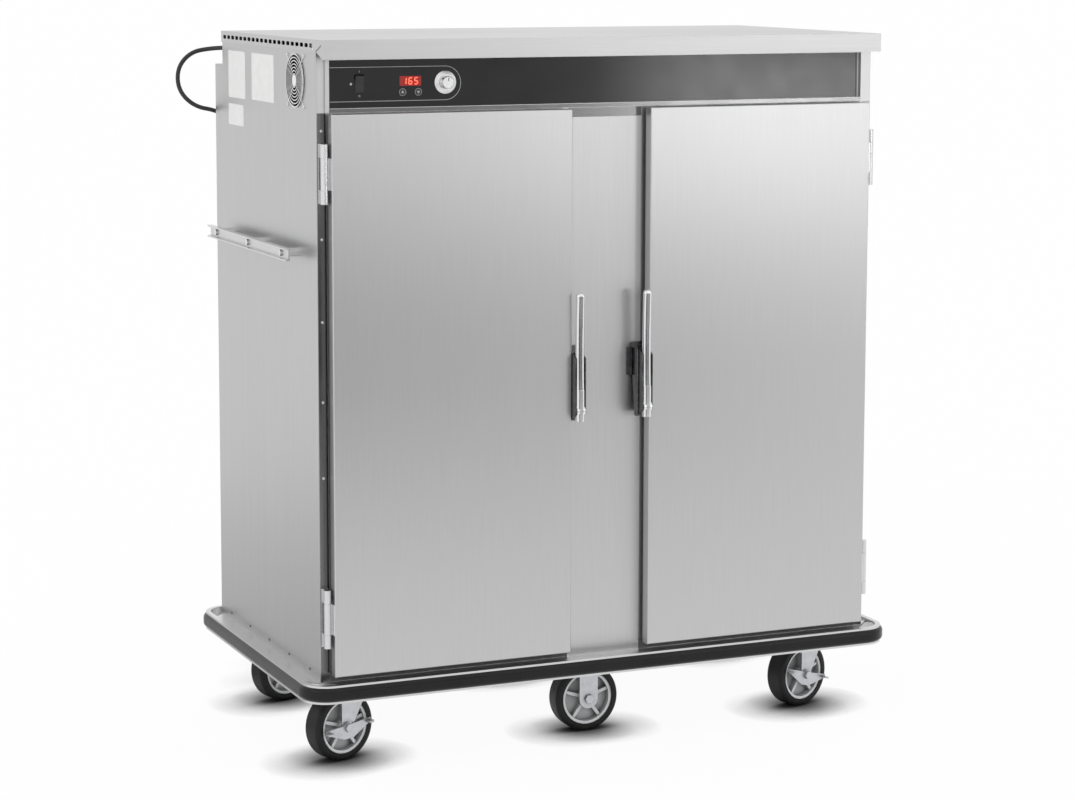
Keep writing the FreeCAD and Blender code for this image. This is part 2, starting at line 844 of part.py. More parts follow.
def latch_lever(start, pivot_y, pivot_z):
    """Bowed lever with a round front and tip, a block foot on the pivot pin and a button on the foot."""
    end = start + lever_width
    foot = latch_foot_radius
    near = pivot_y - foot + latch_foot_gap
    tip = pivot_z + lever_reach
    root = pivot_z + foot / 2
    bow_height = pivot_z + lever_reach * 0.45
    outer_low = Vector(start, near, root)
    outer_bow = Vector(start, near + lever_bow, bow_height)
    outer_tip = Vector(start, near, tip)
    inner_tip = Vector(start, near + lever_blade, tip)
    inner_bow = Vector(start, near + lever_blade + lever_bow, bow_height)
    inner_low = Vector(start, near + lever_blade + lever_bow, root)
    outline = [
        Part.Arc(outer_low, outer_bow, outer_tip).toShape(),
        Part.LineSegment(outer_tip, inner_tip).toShape(),
        Part.Arc(inner_tip, inner_bow, inner_low).toShape(),
        Part.LineSegment(inner_low, outer_low).toShape(),
    ]
    blade = Part.Face(Part.Wire(outline)).extrude(Vector(lever_width, 0, 0))
    blade = blade.makeFillet(lever_tip_radius, edges_along(blade, (0, 1, 0)))
    bowed_front = near + lever_bow + 0.001
    bowed_back = near + lever_blade - 0.001
    upper = [edge for edge in blade.Edges if edge.BoundBox.ZMax > root + 0.001]
    rims = [edge for edge in upper if edge.BoundBox.YMax < bowed_front]
    blade = blade.makeFillet(lever_rounding, rims)
    upper = [edge for edge in blade.Edges if edge.BoundBox.ZMax > root + 0.001]
    rims = [edge for edge in upper if edge.BoundBox.YMin > bowed_back]
    blade = blade.makeFillet(lever_back_rounding, rims)

    block_outline = [
        (start, near, pivot_z + latch_foot_rise),
        (start, near, pivot_z - 2 * foot),
        (start, pivot_y, pivot_z - 2 * foot),
        (start, pivot_y + foot * 0.8, pivot_z - foot / 2),
        (start, pivot_y + foot * 0.8, pivot_z + foot * 1.6),
        (start, near + lever_blade, pivot_z + latch_foot_rise),
    ]
    block = prism(block_outline, (lever_width, 0, 0))
    corners = [edge for edge in edges_along(block, (0, 0, 1)) if edge.BoundBox.YMax < near + 0.001]
    block = block.makeFillet(lever_rounding, corners)
    lever_foot = rod((start, pivot_y, pivot_z), (end, pivot_y, pivot_z), foot)
    middle = (start + end) / 2
    button_face = near - latch_button_proud
    button = rod((middle, button_face, pivot_z), (middle, pivot_y, pivot_z), latch_button_radius)
    hole = rod((start, pivot_y, pivot_z), (end, pivot_y, pivot_z), latch_pin_radius + pin_clearance)
    return fuse([blade, block, lever_foot, button]).cut(hole)


def make_handle():
    """Push rail with outward flanges along the left side, on bolted spacers."""
    centre = (body_front + body_back) / 2
    back = centre + handle_length / 2
    front = centre - handle_length / 2
    web = body_left - handle_standoff
    outer = web - handle_flange
    low = handle_centre_height - handle_height / 2
    high = handle_centre_height + handle_height / 2
    rail = box((outer, front, low), (web, back, high))
    rail = rail.makeFillet(handle_flange / 2, [
        edge for edge in edges_along(rail, (0, 0, 1)) if edge.BoundBox.XMax < outer + 0.001
    ])
    groove = box((outer, front, low + handle_web), (web - handle_web, back, high - handle_web))
    rail = rail.cut(groove)
    spacers = []
    for step in (-1, 0, 1):
        y = centre + step * handle_bolt_pitch
        z = handle_centre_height
        spacers.append(rod((web, y, z), (body_left, y, z), handle_spacer_radius))
        face = web - handle_web
        spacers.append(rod((face - handle_bolt_head, y, z), (face, y, z), handle_bolt_radius))
    save("push_handle", [rail])
    save("handle_spacers", spacers)


def make_fan():
    """Axial fan behind the left side panel, with a ring guard outside."""
    y = body_front + fan_setback
    z = fan_centre_height
    outside = body_left + sheet
    inside = outside + fan_depth
    half = fan_size / 2
    frame = box((outside, y - half, z - half), (inside, y + half, z + half))
    frame = frame.cut(rod((outside, y, z), (inside, y, z), fan_duct_radius))
    mount = inside - fan_motor_depth
    motor = rod((mount, y, z), (inside, y, z), fan_hub_radius)
    struts = []
    for turn in (45, 135):
        bar = box((inside - fan_strut, y - half, z - fan_strut / 2), (inside, y + half, z + fan_strut / 2))
        bar.rotate(Vector(inside, y, z), Vector(1, 0, 0), turn)
        struts.append(bar)
    spider = fuse([motor] + struts)
    spider = spider.common(box((mount, y - half, z - half), (inside, y + half, z + half)))
    shaft = rod((outside + fan_strut, y, z), (mount, y, z), fan_shaft_radius)
    save("fan_frame", [fuse([frame, spider]), shaft])
    save("fan_rotor", [fan_rotor(outside + fan_strut, mount - rest_gap, y, z)])
    save("fan_guard", [fan_guard(y, z)])


def fan_rotor(start, end, y, z):
    """Cup hub with twisted blades, bored for the shaft."""
    hub = rod((start, y, z), (end, y, z), fan_hub_radius)
    middle = (start + end) / 2
    tip = fan_duct_radius - fan_tip_clearance
    blades = [hub]
    for index in range(fan_blade_count):
        sections = []
        for radius, pitch, chord in ((fan_hub_radius * 0.8, fan_root_pitch, 0.8), (tip, fan_tip_pitch, 1.0)):
            half = fan_blade_chord * chord / 2
            limit = (end - start - fan_blade_sheet) / 2
            half = min(half, limit / math.cos(math.radians(pitch)))
            lean = Vector(math.cos(math.radians(pitch)), math.sin(math.radians(pitch)), 0)
            side = Vector(-lean.y, lean.x, 0) * (fan_blade_sheet / 2)
            centre = Vector(middle, y, z + radius)
            corners = [centre + lean * half + side, centre + lean * half - side]
            corners += [centre - lean * half - side, centre - lean * half + side]
            sections.append(Part.makePolygon(corners + corners[:1]))
        blade = Part.makeLoft(sections, True, True)
        blade.rotate(Vector(middle, y, z), Vector(1, 0, 0), index * 360 / fan_blade_count)
        blades.append(blade)
    bore = rod((start, y, z), (end, y, z), fan_shaft_radius + pin_clearance)
    return fuse(blades).cut(bore)


def fan_guard(y, z):
    """Flat rings on four spokes, with a lug at each corner screw."""
    wire = guard_wire
    back = body_left
    step = (fan_duct_radius - guard_inner_ring) / (guard_ring_count - 1)
    pieces = []
    for index in range(guard_ring_count):
        radius = guard_inner_ring + index * step
        ring = rod((back - 2 * wire, y, z), (back - wire, y, z), radius + wire / 2)
        pieces.append(ring.cut(rod((back - 2 * wire, y, z), (back - wire, y, z), radius - wire / 2)))
    reach = fan_screw_pitch / math.sqrt(2)
    for turn in (45, 135):
        spoke = box((back - wire, y - reach, z - wire / 2), (back, y + reach, z + wire / 2))
        for end in (-reach, reach):
            spoke = spoke.fuse(rod((back - wire, y + end, z), (back, y + end, z), 2 * wire))
        spoke.rotate(Vector(back, y, z), Vector(1, 0, 0), turn)
        pieces.append(spoke)
    disc = rod((back - 2 * wire, y, z), (back, y, z), guard_inner_ring - wire)
    return fuse(pieces + [disc])


def on_caster(shape, x, y, turn):
    """Moves a shape from the caster's own frame to its place under the deck."""
    placed = shape.copy()
    placed.rotate(Vector(0, 0, 0), Vector(0, 0, 1), turn)
    placed.translate(Vector(x, y, 0))
    return placed


def wheel(x):
    """Ribbed hub and tyre on an axle along Y at one X of the caster's frame."""
    centre = Vector(x, 0, wheel_radius)
    side = Vector(0, 1, 0)
    half_barrel = tyre_width / 2 + wheel_side_gap - rest_gap
    rim_outer = wheel_radius - tyre_depth
    rim_inner = rim_outer - hub_rim

    def disc(radius, half):
        return Part.makeCylinder(radius, 2 * half, centre - side * half, side)

    rim = disc(rim_outer, hub_rim_width / 2).cut(disc(rim_inner, hub_rim_width / 2))
    pieces = [rim, disc(rim_inner + hub_rim / 2, hub_web / 2), disc(hub_barrel_radius, half_barrel)]
    for index in range(hub_ribs):
        rib = box(
            (x - hub_rib_width / 2, -hub_rib_depth / 2, wheel_radius),
            (x + hub_rib_width / 2, hub_rib_depth / 2, wheel_radius + rim_inner + hub_rim / 2),
        )
        rib.rotate(centre, side, index * 360 / hub_ribs)
        pieces.append(rib)
    hub = fuse(pieces).cut(disc(axle_radius + hub_bore_clearance, half_barrel))

    tyre = disc(wheel_radius, tyre_width / 2).cut(disc(rim_outer, tyre_width / 2))
    shoulders = [edge for edge in tyre.Edges if edge.BoundBox.ZMax > wheel_radius + rim_outer + 0.001]
    shoulders = [edge for edge in shoulders if edge.BoundBox.YLength < 0.001]
    tyre = tyre.makeFillet(tyre_rounding, shoulders)
    return hub, tyre


def axle(x, start, end):
    """Axle bolt with a six-sided head at each end."""
    bolt = rod((x, start, wheel_radius), (x, end, wheel_radius), axle_radius)
    heads = []
    for low in (start - axle_head, end):
        corners = []
        for index in range(6):
            angle = math.pi * index / 3
            across = axle_head_radius * math.cos(angle)
            corners.append((x + across, low, wheel_radius + axle_head_radius * math.sin(angle)))
        heads.append(prism(corners, (0, axle_head, 0)))
    return fuse([bolt] + heads)


leg_inside = tyre_width / 2 + wheel_side_gap
leg_outside = leg_inside + fork_leg
pedal_face = -leg_outside - rest_gap


def fork_legs(outline, x, foot):
    """Two legs of one outline with round feet, each bored for the axle."""
    legs = []
    for start in (-leg_outside, leg_inside):
        end = start + fork_leg
        leg = prism([(px, start, pz) for px, pz in outline], (0, fork_leg, 0))
        round_foot = rod((x, start, wheel_radius), (x, end, wheel_radius), foot)
        bore = rod((x, start, wheel_radius), (x, end, wheel_radius), axle_radius)
        legs.append(leg.fuse(round_foot).cut(bore))
    return legs


def swivel_fork():
    """Fork that trails behind its kingpin: crown plate, lower race and two raked legs."""
    x = -caster_trail
    foot = swivel_leg_half
    shoulder = race_radius * 0.9
    outline = [
        (x - foot, wheel_radius),
        (x - foot, crown_top),
        (shoulder, crown_top),
        (shoulder, crown_low - leg_shoulder_drop),
        (x + foot, wheel_radius),
    ]
    crown = box((x - foot, -leg_outside, crown_low), (race_radius, leg_outside, crown_top))
    crown = crown.makeFillet(race_radius / 3, edges_along(crown, (0, 0, 1)))
    race = rod((0, 0, crown_low), (0, 0, crown_top + race_height), race_radius)
    bore = rod((0, 0, crown_low), (0, 0, crown_top + race_height), kingpin_radius + pin_clearance)
    return fuse([crown, race] + fork_legs(outline, x, foot)).cut(bore)


def swivel_plate():
    """Top plate of a swivel caster with its upper race and kingpin."""
    low = caster_height - caster_plate
    half_x = caster_plate_x / 2
    half_y = caster_plate_y / 2
    plate = box((-half_x, -half_y, low), (half_x, half_y, caster_height))
    race = rod((0, 0, crown_top + race_height + rest_gap), (0, 0, low), race_radius + race_lap)
    pin_low = crown_low - rest_gap
    pin = rod((0, 0, pin_low), (0, 0, low), kingpin_radius)
    head = rod((0, 0, pin_low - kingpin_head), (0, 0, pin_low), kingpin_head_radius)
    return fuse([plate, race, pin, head])


def rigid_fork():
    """Fixed caster: top plate and two straight legs with round feet."""
    low = caster_height - caster_plate
    foot = rigid_leg_half
    half_x = caster_plate_x / 2
    half_y = caster_plate_y / 2
    outline = [(-foot, wheel_radius), (-foot, low), (foot, low), (foot, wheel_radius)]
    plate = box((-half_x, -half_y, low), (half_x, half_y, caster_height))
    return fuse([plate] + fork_legs(outline, 0, foot))


def brake_pedal(tilt):
    """Rocking foot pedal on the axle, outside the front leg, with a foot tab at each end."""
    x = -caster_trail
    start = pedal_face - pedal_plate
    eye = axle_head_radius * 1.2
    reach = pedal_reach
    belly = wheel_radius - pedal_belly
    level = wheel_radius + pedal_lift
    outline = [
        (x - eye, wheel_radius + eye / 2),
        (x + eye, wheel_radius + eye / 2),
        (x + reach, level + eye / 3),
        (x + reach, level - eye / 3),
        (x + eye, belly),
        (x - eye, belly),
        (x - reach, level - eye / 3),
        (x - reach, level + eye / 3),
    ]
    plate = prism([(px, start, pz) for px, pz in outline], (0, pedal_plate, 0))
    pieces = [plate, rod((x, start, wheel_radius), (x, pedal_face, wheel_radius), eye)]
    for side in (-1, 1):
        outer = x + side * reach
        inner = outer - side * eye
        low = (min(outer, inner), start - pedal_tab, level - eye / 3)
        high = (max(outer, inner), start, level - eye / 3 + pedal_plate)
        tab = box(low, high)
        pieces.append(tab.makeFillet(eye / 3, [
            edge for edge in edges_along(tab, (0, 0, 1)) if edge.BoundBox.YMax < start - pedal_tab + 0.001
        ]))
    bore = rod((x, start, wheel_radius), (x, pedal_face, wheel_radius), axle_radius + pin_clearance)
    pedal = fuse(pieces).cut(bore)
    pedal.rotate(Vector(x, 0, wheel_radius), Vector(0, 1, 0), tilt)
    return pedal


def make_casters():
    """Four swivel casters, the front pair with pedals, and two rigid casters between them."""
    plates = []
    plain_end = -leg_outside
    pedal_end = pedal_face - pedal_plate - rest_gap
    places = (
        ("front_left", -caster_right, caster_front, caster_turn, pedal_tilt_left),
        ("front_right", caster_right, caster_front, caster_turn, pedal_tilt_right),
        ("back_left", -caster_right, caster_back, caster_turn + 180, None),
        ("back_right", caster_right, caster_back, caster_turn + 180, None),
    )
    hub, tyre = wheel(-caster_trail)
    for name, x, y, turn, tilt in places:
        start = plain_end if tilt is None else pedal_end
        plates.append(on_caster(swivel_plate(), x, y, 0))
        solids = [swivel_fork(), axle(-caster_trail, start, leg_outside)]
        save("fork_" + name, [on_caster(solid, x, y, turn) for solid in solids])
        save("hub_" + name, [on_caster(hub, x, y, turn)])
        save("tyre_" + name, [on_caster(tyre, x, y, turn)])
        if tilt is not None:
            save("brake_" + name, [on_caster(brake_pedal(tilt), x, y, turn)])
    save("swivel_plates", plates)

    hub, tyre = wheel(0)
    forks = []
    for name, y in (("front_middle", caster_front), ("back_middle", caster_back)):
        forks += [on_caster(rigid_fork(), 0, y, 0), on_caster(axle(0, plain_end, leg_outside), 0, y, 0)]
        save("hub_" + name, [on_caster(hub, 0, y, 0)])
        save("tyre_" + name, [on_caster(tyre, 0, y, 0)])
    save("rigid_forks", forks)


def tangent_path(points):
    """Straight runs joined by arcs as large as the shorter run beside each point allows."""
    edges = []
    radii = []
    start = points[0]
    for before, point, after in zip(points, points[1:], points[2:]):
        first = point - before
        second = after - point
        trim = 0.45 * min(first.Length, second.Length)
        first.normalize()
        second.normalize()
        half_turn = first.getAngle(second) / 2
        radius = trim / math.tan(half_turn)
        inward = second - first
        inward.normalize()
        middle = point + inward * (radius / math.cos(half_turn) - radius)
        arc_start = point - first * trim
        arc_end = point + second * trim
        edges.append(Part.LineSegment(start, arc_start).toShape())
        edges.append(Part.Arc(arc_start, middle, arc_end).toShape())
        radii.append(radius)
        start = arc_end
    edges.append(Part.LineSegment(start, points[-1]).toShape())
    length = sum(edge.Length for edge in edges)
    return Part.Wire(edges), radii, length


def turn_arc(start, tangent, end):
    """Arc that leaves start along tangent and ends at end."""
    chord = end - start
    across = chord - tangent * chord.dot(tangent)
    if across.Length < 1e-6:
        return Part.LineSegment(start, end).toShape()
    normal = across / across.Length
    radius = chord.dot(chord) / (2 * chord.dot(normal))
    centre = start + normal * radius
    outward = (start + end) / 2 - centre
    outward.normalize()
    return Part.Arc(start, centre + outward * radius, end).toShape()


def biarc(start, start_tangent, end, end_tangent):
    """Two arcs that join two points with given tangents."""
    chord = end - start
    total = start_tangent + end_tangent
    square = 2 * (1 - start_tangent.dot(end_tangent))
    along = chord.dot(total)
    reach = (math.sqrt(along * along + square * chord.dot(chord)) - along) / square
    joint = (start + start_tangent * reach + end - end_tangent * reach) / 2
    first = turn_arc(start, start_tangent, joint)
    second = turn_arc(end, end_tangent * -1, joint)
    middle_second = second.valueAt((second.FirstParameter + second.LastParameter) / 2)
    return [first, Part.Arc(joint, middle_second, end).toShape()]


def cord_route():
    """Points of the lead: a loop past the side, a long hang behind the back and a turn along the floor."""
    outlet = Vector(body_left + gland_left, module_back + gland_length, gland_height)
    loop = [
        (0, 38, 0),
        (-27, 76, -2),
        (-75, 84, -10),
        (-110, 75, -46),
        (-111, 65, -97),
        (-75, 58, -134),
        (-23, 55, -143),
        (25, 56, -172),
        (51, 58, -232),
    ]
    points = [outlet] + [outlet + Vector(*step) for step in loop]
    top = points[-1]
    foot = Vector(body_left + cord_foot_left, bumper_half_y + cord_back_gap, cord_foot_height)
    for index in range(1, cord_hang_points + 1):
        share = index / cord_hang_points
        bow = Vector(cord_hang_bow * math.sin(math.pi * share), 0, 0)
        points.append(top + (foot - top) * share + bow)
    landing = ((5, 1, 130), (24, 2, 62), (66, 3, 18), (124, 2, cord_radius), (178, 0, cord_radius))
    for along, out, height in landing:
        points.append(Vector(foot.x + along, foot.y + out, height))
    return points


def make_cord():
    """Strain relief, hanging lead, put-away coil and plug."""
    x = body_left + gland_left
    profile = [
        (x, module_back - 4 * sheet, gland_height),
        (x + gland_base_radius, module_back - 4 * sheet, gland_height),
        (x + gland_base_radius, module_back - sheet, gland_height),
        (x + gland_neck_radius, module_back - sheet, gland_height),
        (x + gland_neck_radius, module_back, gland_height),
        (x + gland_base_radius, module_back, gland_height),
        (x + gland_base_radius, module_back + 2 * sheet, gland_height),
        (x + gland_tip_radius, module_back + gland_length, gland_height),
        (x, module_back + gland_length, gland_height),
    ]
    corners = [Vector(*point) for point in profile]
    gland = Part.Face(Part.makePolygon(corners + corners[:1]))
    save("cord_gland", [gland.revolve(Vector(x, 0, gland_height), Vector(0, 1, 0), 360)])

    points = cord_route()
    lead_in = points[-1] - points[-2]
    lead_in.normalize()
    path, radii, length = tangent_path(points)
    section = Part.Wire(Part.makeCircle(cord_radius, points[0], points[1] - points[0]))
    cord = path.makePipeShell([section], True, False)
    print("cord bend radii", [round(radius, 1) for radius in radii])
    expected = math.pi * cord_radius ** 2 * length
    print("cord length", round(length, 1), "volume ratio", round(cord.Volume / expected, 4))
    save("power_cord", [cord])
    coil_length = make_coil(points[-1], lead_in)
    print("cord length with coil", round(length + coil_length, 1))


def make_coil(start, heading):
    """Two flat layers of turns: in to the middle of the winding, up one layer, and out again."""
    side = Vector(-heading.y, heading.x, 0)
    straight = 2 * cord_radius
    entry = start + heading * straight
    centre = entry + side * coil_start_radius
    middle = math.pi * coil_turns
    layer = coil_pitch

    def place(angle):
        swept = min(angle, 2 * middle - angle)
        radius = coil_start_radius - coil_pitch * swept / (2 * math.pi)
        climb = min(max((angle - middle) / math.pi + 0.5, 0), 1)
        rise = layer * (3 * climb ** 2 - 2 * climb ** 3)
        turned = heading * math.sin(angle) - side * math.cos(angle)
        return centre + turned * radius + Vector(0, 0, rise)

    def tangent(angle):
        step = 1e-4
        along = place(angle + step) - place(angle - step)
        along.normalize()
        return along

    count = round(coil_turns * 4)
    angles = [2 * middle * index / count for index in range(count + 1)]
    knots = [place(angle) for angle in angles]
    tangents = [heading] + [tangent(angle) for angle in angles[1:-1]]
    last = heading * math.cos(2 * middle) + side * math.sin(2 * middle)
    tangents.append(last)
    edges = [Part.LineSegment(start, entry).toShape()]
    for index in range(count):
        edges += biarc(knots[index], tangents[index], knots[index + 1], tangents[index + 1])
    tail = knots[-1] + last * coil_tail
    edges.append(Part.LineSegment(knots[-1], tail).toShape())
    path = Part.Wire(edges)
    section = Part.Wire(Part.makeCircle(cord_radius, start, heading))
    coil = path.makePipeShell([section], True, False)
    length = sum(edge.Length for edge in edges)
    expected = math.pi * cord_radius ** 2 * length
    print("coil length", round(length, 1), "volume ratio", round(coil.Volume / expected, 4))
    print("coil gap to itself", round(least_gap(path, length), 2))
    save("cord_coil", [coil])
    make_plug(tail, last)
    return length


def least_gap(path, length):
    """Least clear distance between stretches of one winding that lie over half a turn apart."""
    count = int(length / 6)
    points = path.discretize(count)
    apart = int(math.pi * coil_start_radius / (length / count))
    gap = length
    for index in range(count):
        for other in range(index + apart, count):
            gap = min(gap, points[index].distanceToPoint(points[other]))
    return gap - 2 * cord_radius


def make_plug(start, heading):
    """Moulded plug with two flat blades and a round earth pin, lying with its axis level."""
    up = Vector(0, 0, 1)
    side = up.cross(heading)
    profile = [
        (0, 0),
        (0, cord_radius * 1.3),
        (plug_neck, plug_radius * 0.8),
        (plug_neck, plug_radius),
        (plug_neck + plug_body, plug_radius * 0.93),
        (plug_neck + plug_body, 0),
    ]
    corners = [start + heading * along + side * out for along, out in profile]
    body = Part.Face(Part.makePolygon(corners + corners[:1])).revolve(start, heading, 360)
    face = start + heading * (plug_neck + plug_body)
    blades = []
    for across in (-1, 1):
        centre = face + side * (across * plug_radius * 0.42) + up * (plug_radius * 0.15)
        low = centre - side * (plug_blade_sheet / 2) - up * (plug_blade_width / 2)
        thick = side * plug_blade_sheet
        tall = up * plug_blade_width
        corners = [low, low + thick, low + thick + tall, low + tall]
        outline = Part.Face(Part.makePolygon(corners + corners[:1]))
        blades.append(outline.extrude(heading * plug_blade_length))
    pin_start = face - up * plug_radius * 0.55
    blades.append(Part.makeCylinder(plug_pin_radius, plug_blade_length * 1.15, pin_start, heading))
    save("power_plug", [fuse([body] + blades)])


make_base()
make_skins()
make_inside()
make_front_frame()
make_cap()
make_controls()
make_doors()
make_handle()
make_fan()
make_casters()
make_cord()
print(len(made), "nodes,", sum(made.values()), "solids")
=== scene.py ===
# %% [markdown]
# # Dressing a heated banquet cabinet
# The solids of this cabinet are already modelled to size. This lesson loads them as a fixed frame, gives
# every sheet, casting and moulding its finish, and adds what is too fine for solids: the mains lead, screws,
# the lit display and the printed lines on the control panel. Everything is in metres, with Z up.

# %% Load the frame
import math

import bmesh
import bpy
from mathutils import Euler, Matrix, Vector


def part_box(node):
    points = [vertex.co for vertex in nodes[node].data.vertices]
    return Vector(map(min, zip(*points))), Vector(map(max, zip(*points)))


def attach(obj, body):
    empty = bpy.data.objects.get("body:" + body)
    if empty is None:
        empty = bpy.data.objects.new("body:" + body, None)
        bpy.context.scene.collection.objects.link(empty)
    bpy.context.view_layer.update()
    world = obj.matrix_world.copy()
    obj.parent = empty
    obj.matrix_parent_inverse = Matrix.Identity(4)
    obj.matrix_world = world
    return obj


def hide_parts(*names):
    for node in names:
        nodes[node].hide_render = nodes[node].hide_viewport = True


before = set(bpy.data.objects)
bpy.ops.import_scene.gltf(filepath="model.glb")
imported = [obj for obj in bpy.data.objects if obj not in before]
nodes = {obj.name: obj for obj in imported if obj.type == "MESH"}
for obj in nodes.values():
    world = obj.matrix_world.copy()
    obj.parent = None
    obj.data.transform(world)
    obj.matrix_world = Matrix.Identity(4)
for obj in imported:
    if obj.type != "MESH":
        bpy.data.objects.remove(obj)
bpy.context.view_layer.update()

scene = bpy.context.scene
scene.view_settings.view_transform = "Standard"

# %% [markdown]
# ## The camera
# The picture was taken a little above the middle of the cabinet, from the left. A lens shift does what a
# view camera's rising front does: it keeps the uprights nearly parallel while the lens looks slightly down.

# %% Place the camera
photo_width = 1075
focal_pixels = 2804.6
look_down = math.radians(7.213)
look_right = math.radians(23.623)
tilt = math.radians(0.125)
lens_shift = -0.093
far_limit = 2000.0
camera_place = (-2.5397, -5.7876, 1.7364)
camera_data = bpy.data.cameras.new("photo_camera")
camera_data.sensor_width = 36.0
camera_data.lens = focal_pixels * camera_data.sensor_width / photo_width
camera_data.shift_y = lens_shift
camera_data.clip_end = far_limit
camera = bpy.data.objects.new("photo_camera", camera_data)
camera.location = camera_place
aim = Euler((math.pi / 2 - look_down, 0, -look_right)).to_matrix()
camera.rotation_euler = (aim @ Matrix.Rotation(tilt, 3, "Z")).to_euler()
scene.collection.objects.link(camera)
scene.camera = camera
print("lens", round(camera_data.lens, 1), "mm")

# %% [markdown]
# ## The mains lead
# A real lead is one length of rubber cable that leaves the strain relief, swings out past the side, hangs
# behind the back and lies in a tied coil on the floor. A NURBS curve of order 3 with a few control points
# bends as evenly as cable does, where a polyline would look like bent wire.

# %% Route of the lead
cord_radius = 0.005
gland_low, gland_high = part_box("cord_gland")
outlet = (gland_low + gland_high) / 2
outlet.y = gland_high.y
loop_steps = [
    (0, 38, 0),
    (-27, 76, -2),
    (-75, 84, -10),
    (-110, 75, -46),
    (-111, 65, -97),
    (-75, 58, -134),
    (-23, 55, -143),
    (25, 56, -172),
    (51, 58, -232),
]
route = [outlet] + [outlet + Vector(step) / 1000 for step in loop_steps]
hang_top = route[-1]
hang_foot = Vector((-0.5605, 0.429, 0.212))
hang_count = 9
hang_bow = 0.024
for index in range(1, hang_count + 1):
    share = index / hang_count
    bow = Vector((hang_bow * math.sin(math.pi * share), 0, 0))
    route.append(hang_top.lerp(hang_foot, share) + bow)
foot_steps = ((5, 1, 130), (24, 2, 62), (66, 3, 18), (124, 2, 5), (178, 0, 5))
for along, out, height in foot_steps:
    route.append(Vector((hang_foot.x + along / 1000, hang_foot.y + out / 1000, height / 1000)))
print("route has", len(route), "points")

# %% [markdown]
# ## The coil
# The spare length is wound in two flat layers: inwards, up one layer half-way, and out again. The turns are
# more control points of the same curve, sixteen to a turn, so the lead stays one unbroken line.

# %% Turns of the coil
coil_radius = 0.066
coil_pitch = 0.0107
coil_turns = 2.5
tail_length = 0.034
heading = (route[-1] - route[-2]).normalized()
across = Vector((-heading.y, heading.x, 0))
coil_centre = route[-1] + heading * (2 * cord_radius) + across * coil_radius
half_way = math.pi * coil_turns
points_per_turn = 16
spread = 1 / math.cos(math.pi / points_per_turn)


def coil_point(angle):
    swept = min(angle, 2 * half_way - angle)
    radius = coil_radius - coil_pitch * swept / (2 * math.pi)
    climb = min(max((angle - half_way) / math.pi + 0.5, 0), 1)
    rise = coil_pitch * (3 * climb ** 2 - 2 * climb ** 3)
    turned = heading * math.sin(angle) - across * math.cos(angle)
    return coil_centre + turned * radius * spread + Vector((0, 0, rise))


coil_count = int(coil_turns * points_per_turn)
for index in range(coil_count + 1):
    route.append(coil_point(2 * half_way * index / coil_count))
leaving = heading * math.cos(2 * half_way) + across * math.sin(2 * half_way)
coil_end = coil_centre + (heading * math.sin(2 * half_way) - across * math.cos(2 * half_way)) * coil_radius
coil_end.z += coil_pitch
route.append(coil_end + leaving * tail_length)
print("coil centre", [round(value, 3) for value in coil_centre])

# %% [markdown]
# ## Finishes
# A finish is a small node tree. Brushed sheet is metal whose colour and roughness vary in long streaks, so a
# noise texture is stretched along the grain by a Mapping node. All patterns read Object coordinates, which
# stay put on a piece when it moves with its joint.

# %% Helpers for finishes
noise_low, noise_high = 0.3, 0.7


def new_finish(name, colour, roughness, metallic=0.0):
    """Material with its constant values set straight on the shader."""
    material = bpy.data.materials.new(name)
    material.use_nodes = True
    shader = material.node_tree.nodes["Principled BSDF"]
    shader.inputs["Base Color"].default_value = (*colour, 1)
    shader.inputs["Roughness"].default_value = roughness
    shader.inputs["Metallic"].default_value = metallic
    return material, shader


def stretched_noise(material, stretch, detail=3.0):
    """Noise whose grain is set by how many features fit in a metre along X, Y and Z."""
    tree = material.node_tree
    place = tree.nodes.new("ShaderNodeTexCoord")
    mapping = tree.nodes.new("ShaderNodeMapping")
    noise = tree.nodes.new("ShaderNodeTexNoise")
    mapping.inputs["Scale"].default_value = stretch
    noise.inputs["Scale"].default_value = 1.0
    noise.inputs["Detail"].default_value = detail
    tree.links.new(place.outputs["Object"], mapping.inputs["Vector"])
    tree.links.new(mapping.outputs["Vector"], noise.inputs["Vector"])
    return noise.outputs["Fac"]


def vary(material, factor, low, high, socket):
    """Maps a noise factor onto a range of colours or numbers."""
    tree = material.node_tree
    if isinstance(low, tuple):
        ramp = tree.nodes.new("ShaderNodeValToRGB")
        ramp.color_ramp.elements[0].position = noise_low
        ramp.color_ramp.elements[1].position = noise_high
        ramp.color_ramp.elements[0].color = (*low, 1)
        ramp.color_ramp.elements[1].color = (*high, 1)
        tree.links.new(factor, ramp.inputs["Fac"])
        tree.links.new(ramp.outputs["Color"], socket)
        return
    span = tree.nodes.new("ShaderNodeMapRange")
    span.inputs["From Min"].default_value = noise_low
    span.inputs["From Max"].default_value = noise_high
    span.inputs["To Min"].default_value = low
    span.inputs["To Max"].default_value = high
    tree.links.new(factor, span.inputs["Value"])
    tree.links.new(span.outputs["Result"], socket)


def bump(material, shader, factor, strength, distance):
    """Raises the surface where the factor is high."""
    tree = material.node_tree
    node = tree.nodes.new("ShaderNodeBump")
    node.inputs["Strength"].default_value = strength
    node.inputs["Distance"].default_value = distance
    tree.links.new(factor, node.inputs["Height"])
    tree.links.new(node.outputs["Normal"], shader.inputs["Normal"])


print("finish helpers ready")

# %% [markdown]
# ## Brushed stainless sheet
# Catering cabinets are made of sheet with a number four finish: short scratches in one direction. Three
# grains cover the cabinet: upright on doors and sides, along X on the cap and deck, along Y on the rail.

# %% Brushed sheet
grains = {"upright": (420, 420, 7), "lengthwise": (7, 420, 420), "crosswise": (420, 7, 420)}
broad_share = 0.12
scratch_strength, scratch_depth = 0.06, 0.0004
grain_pull = 0.35


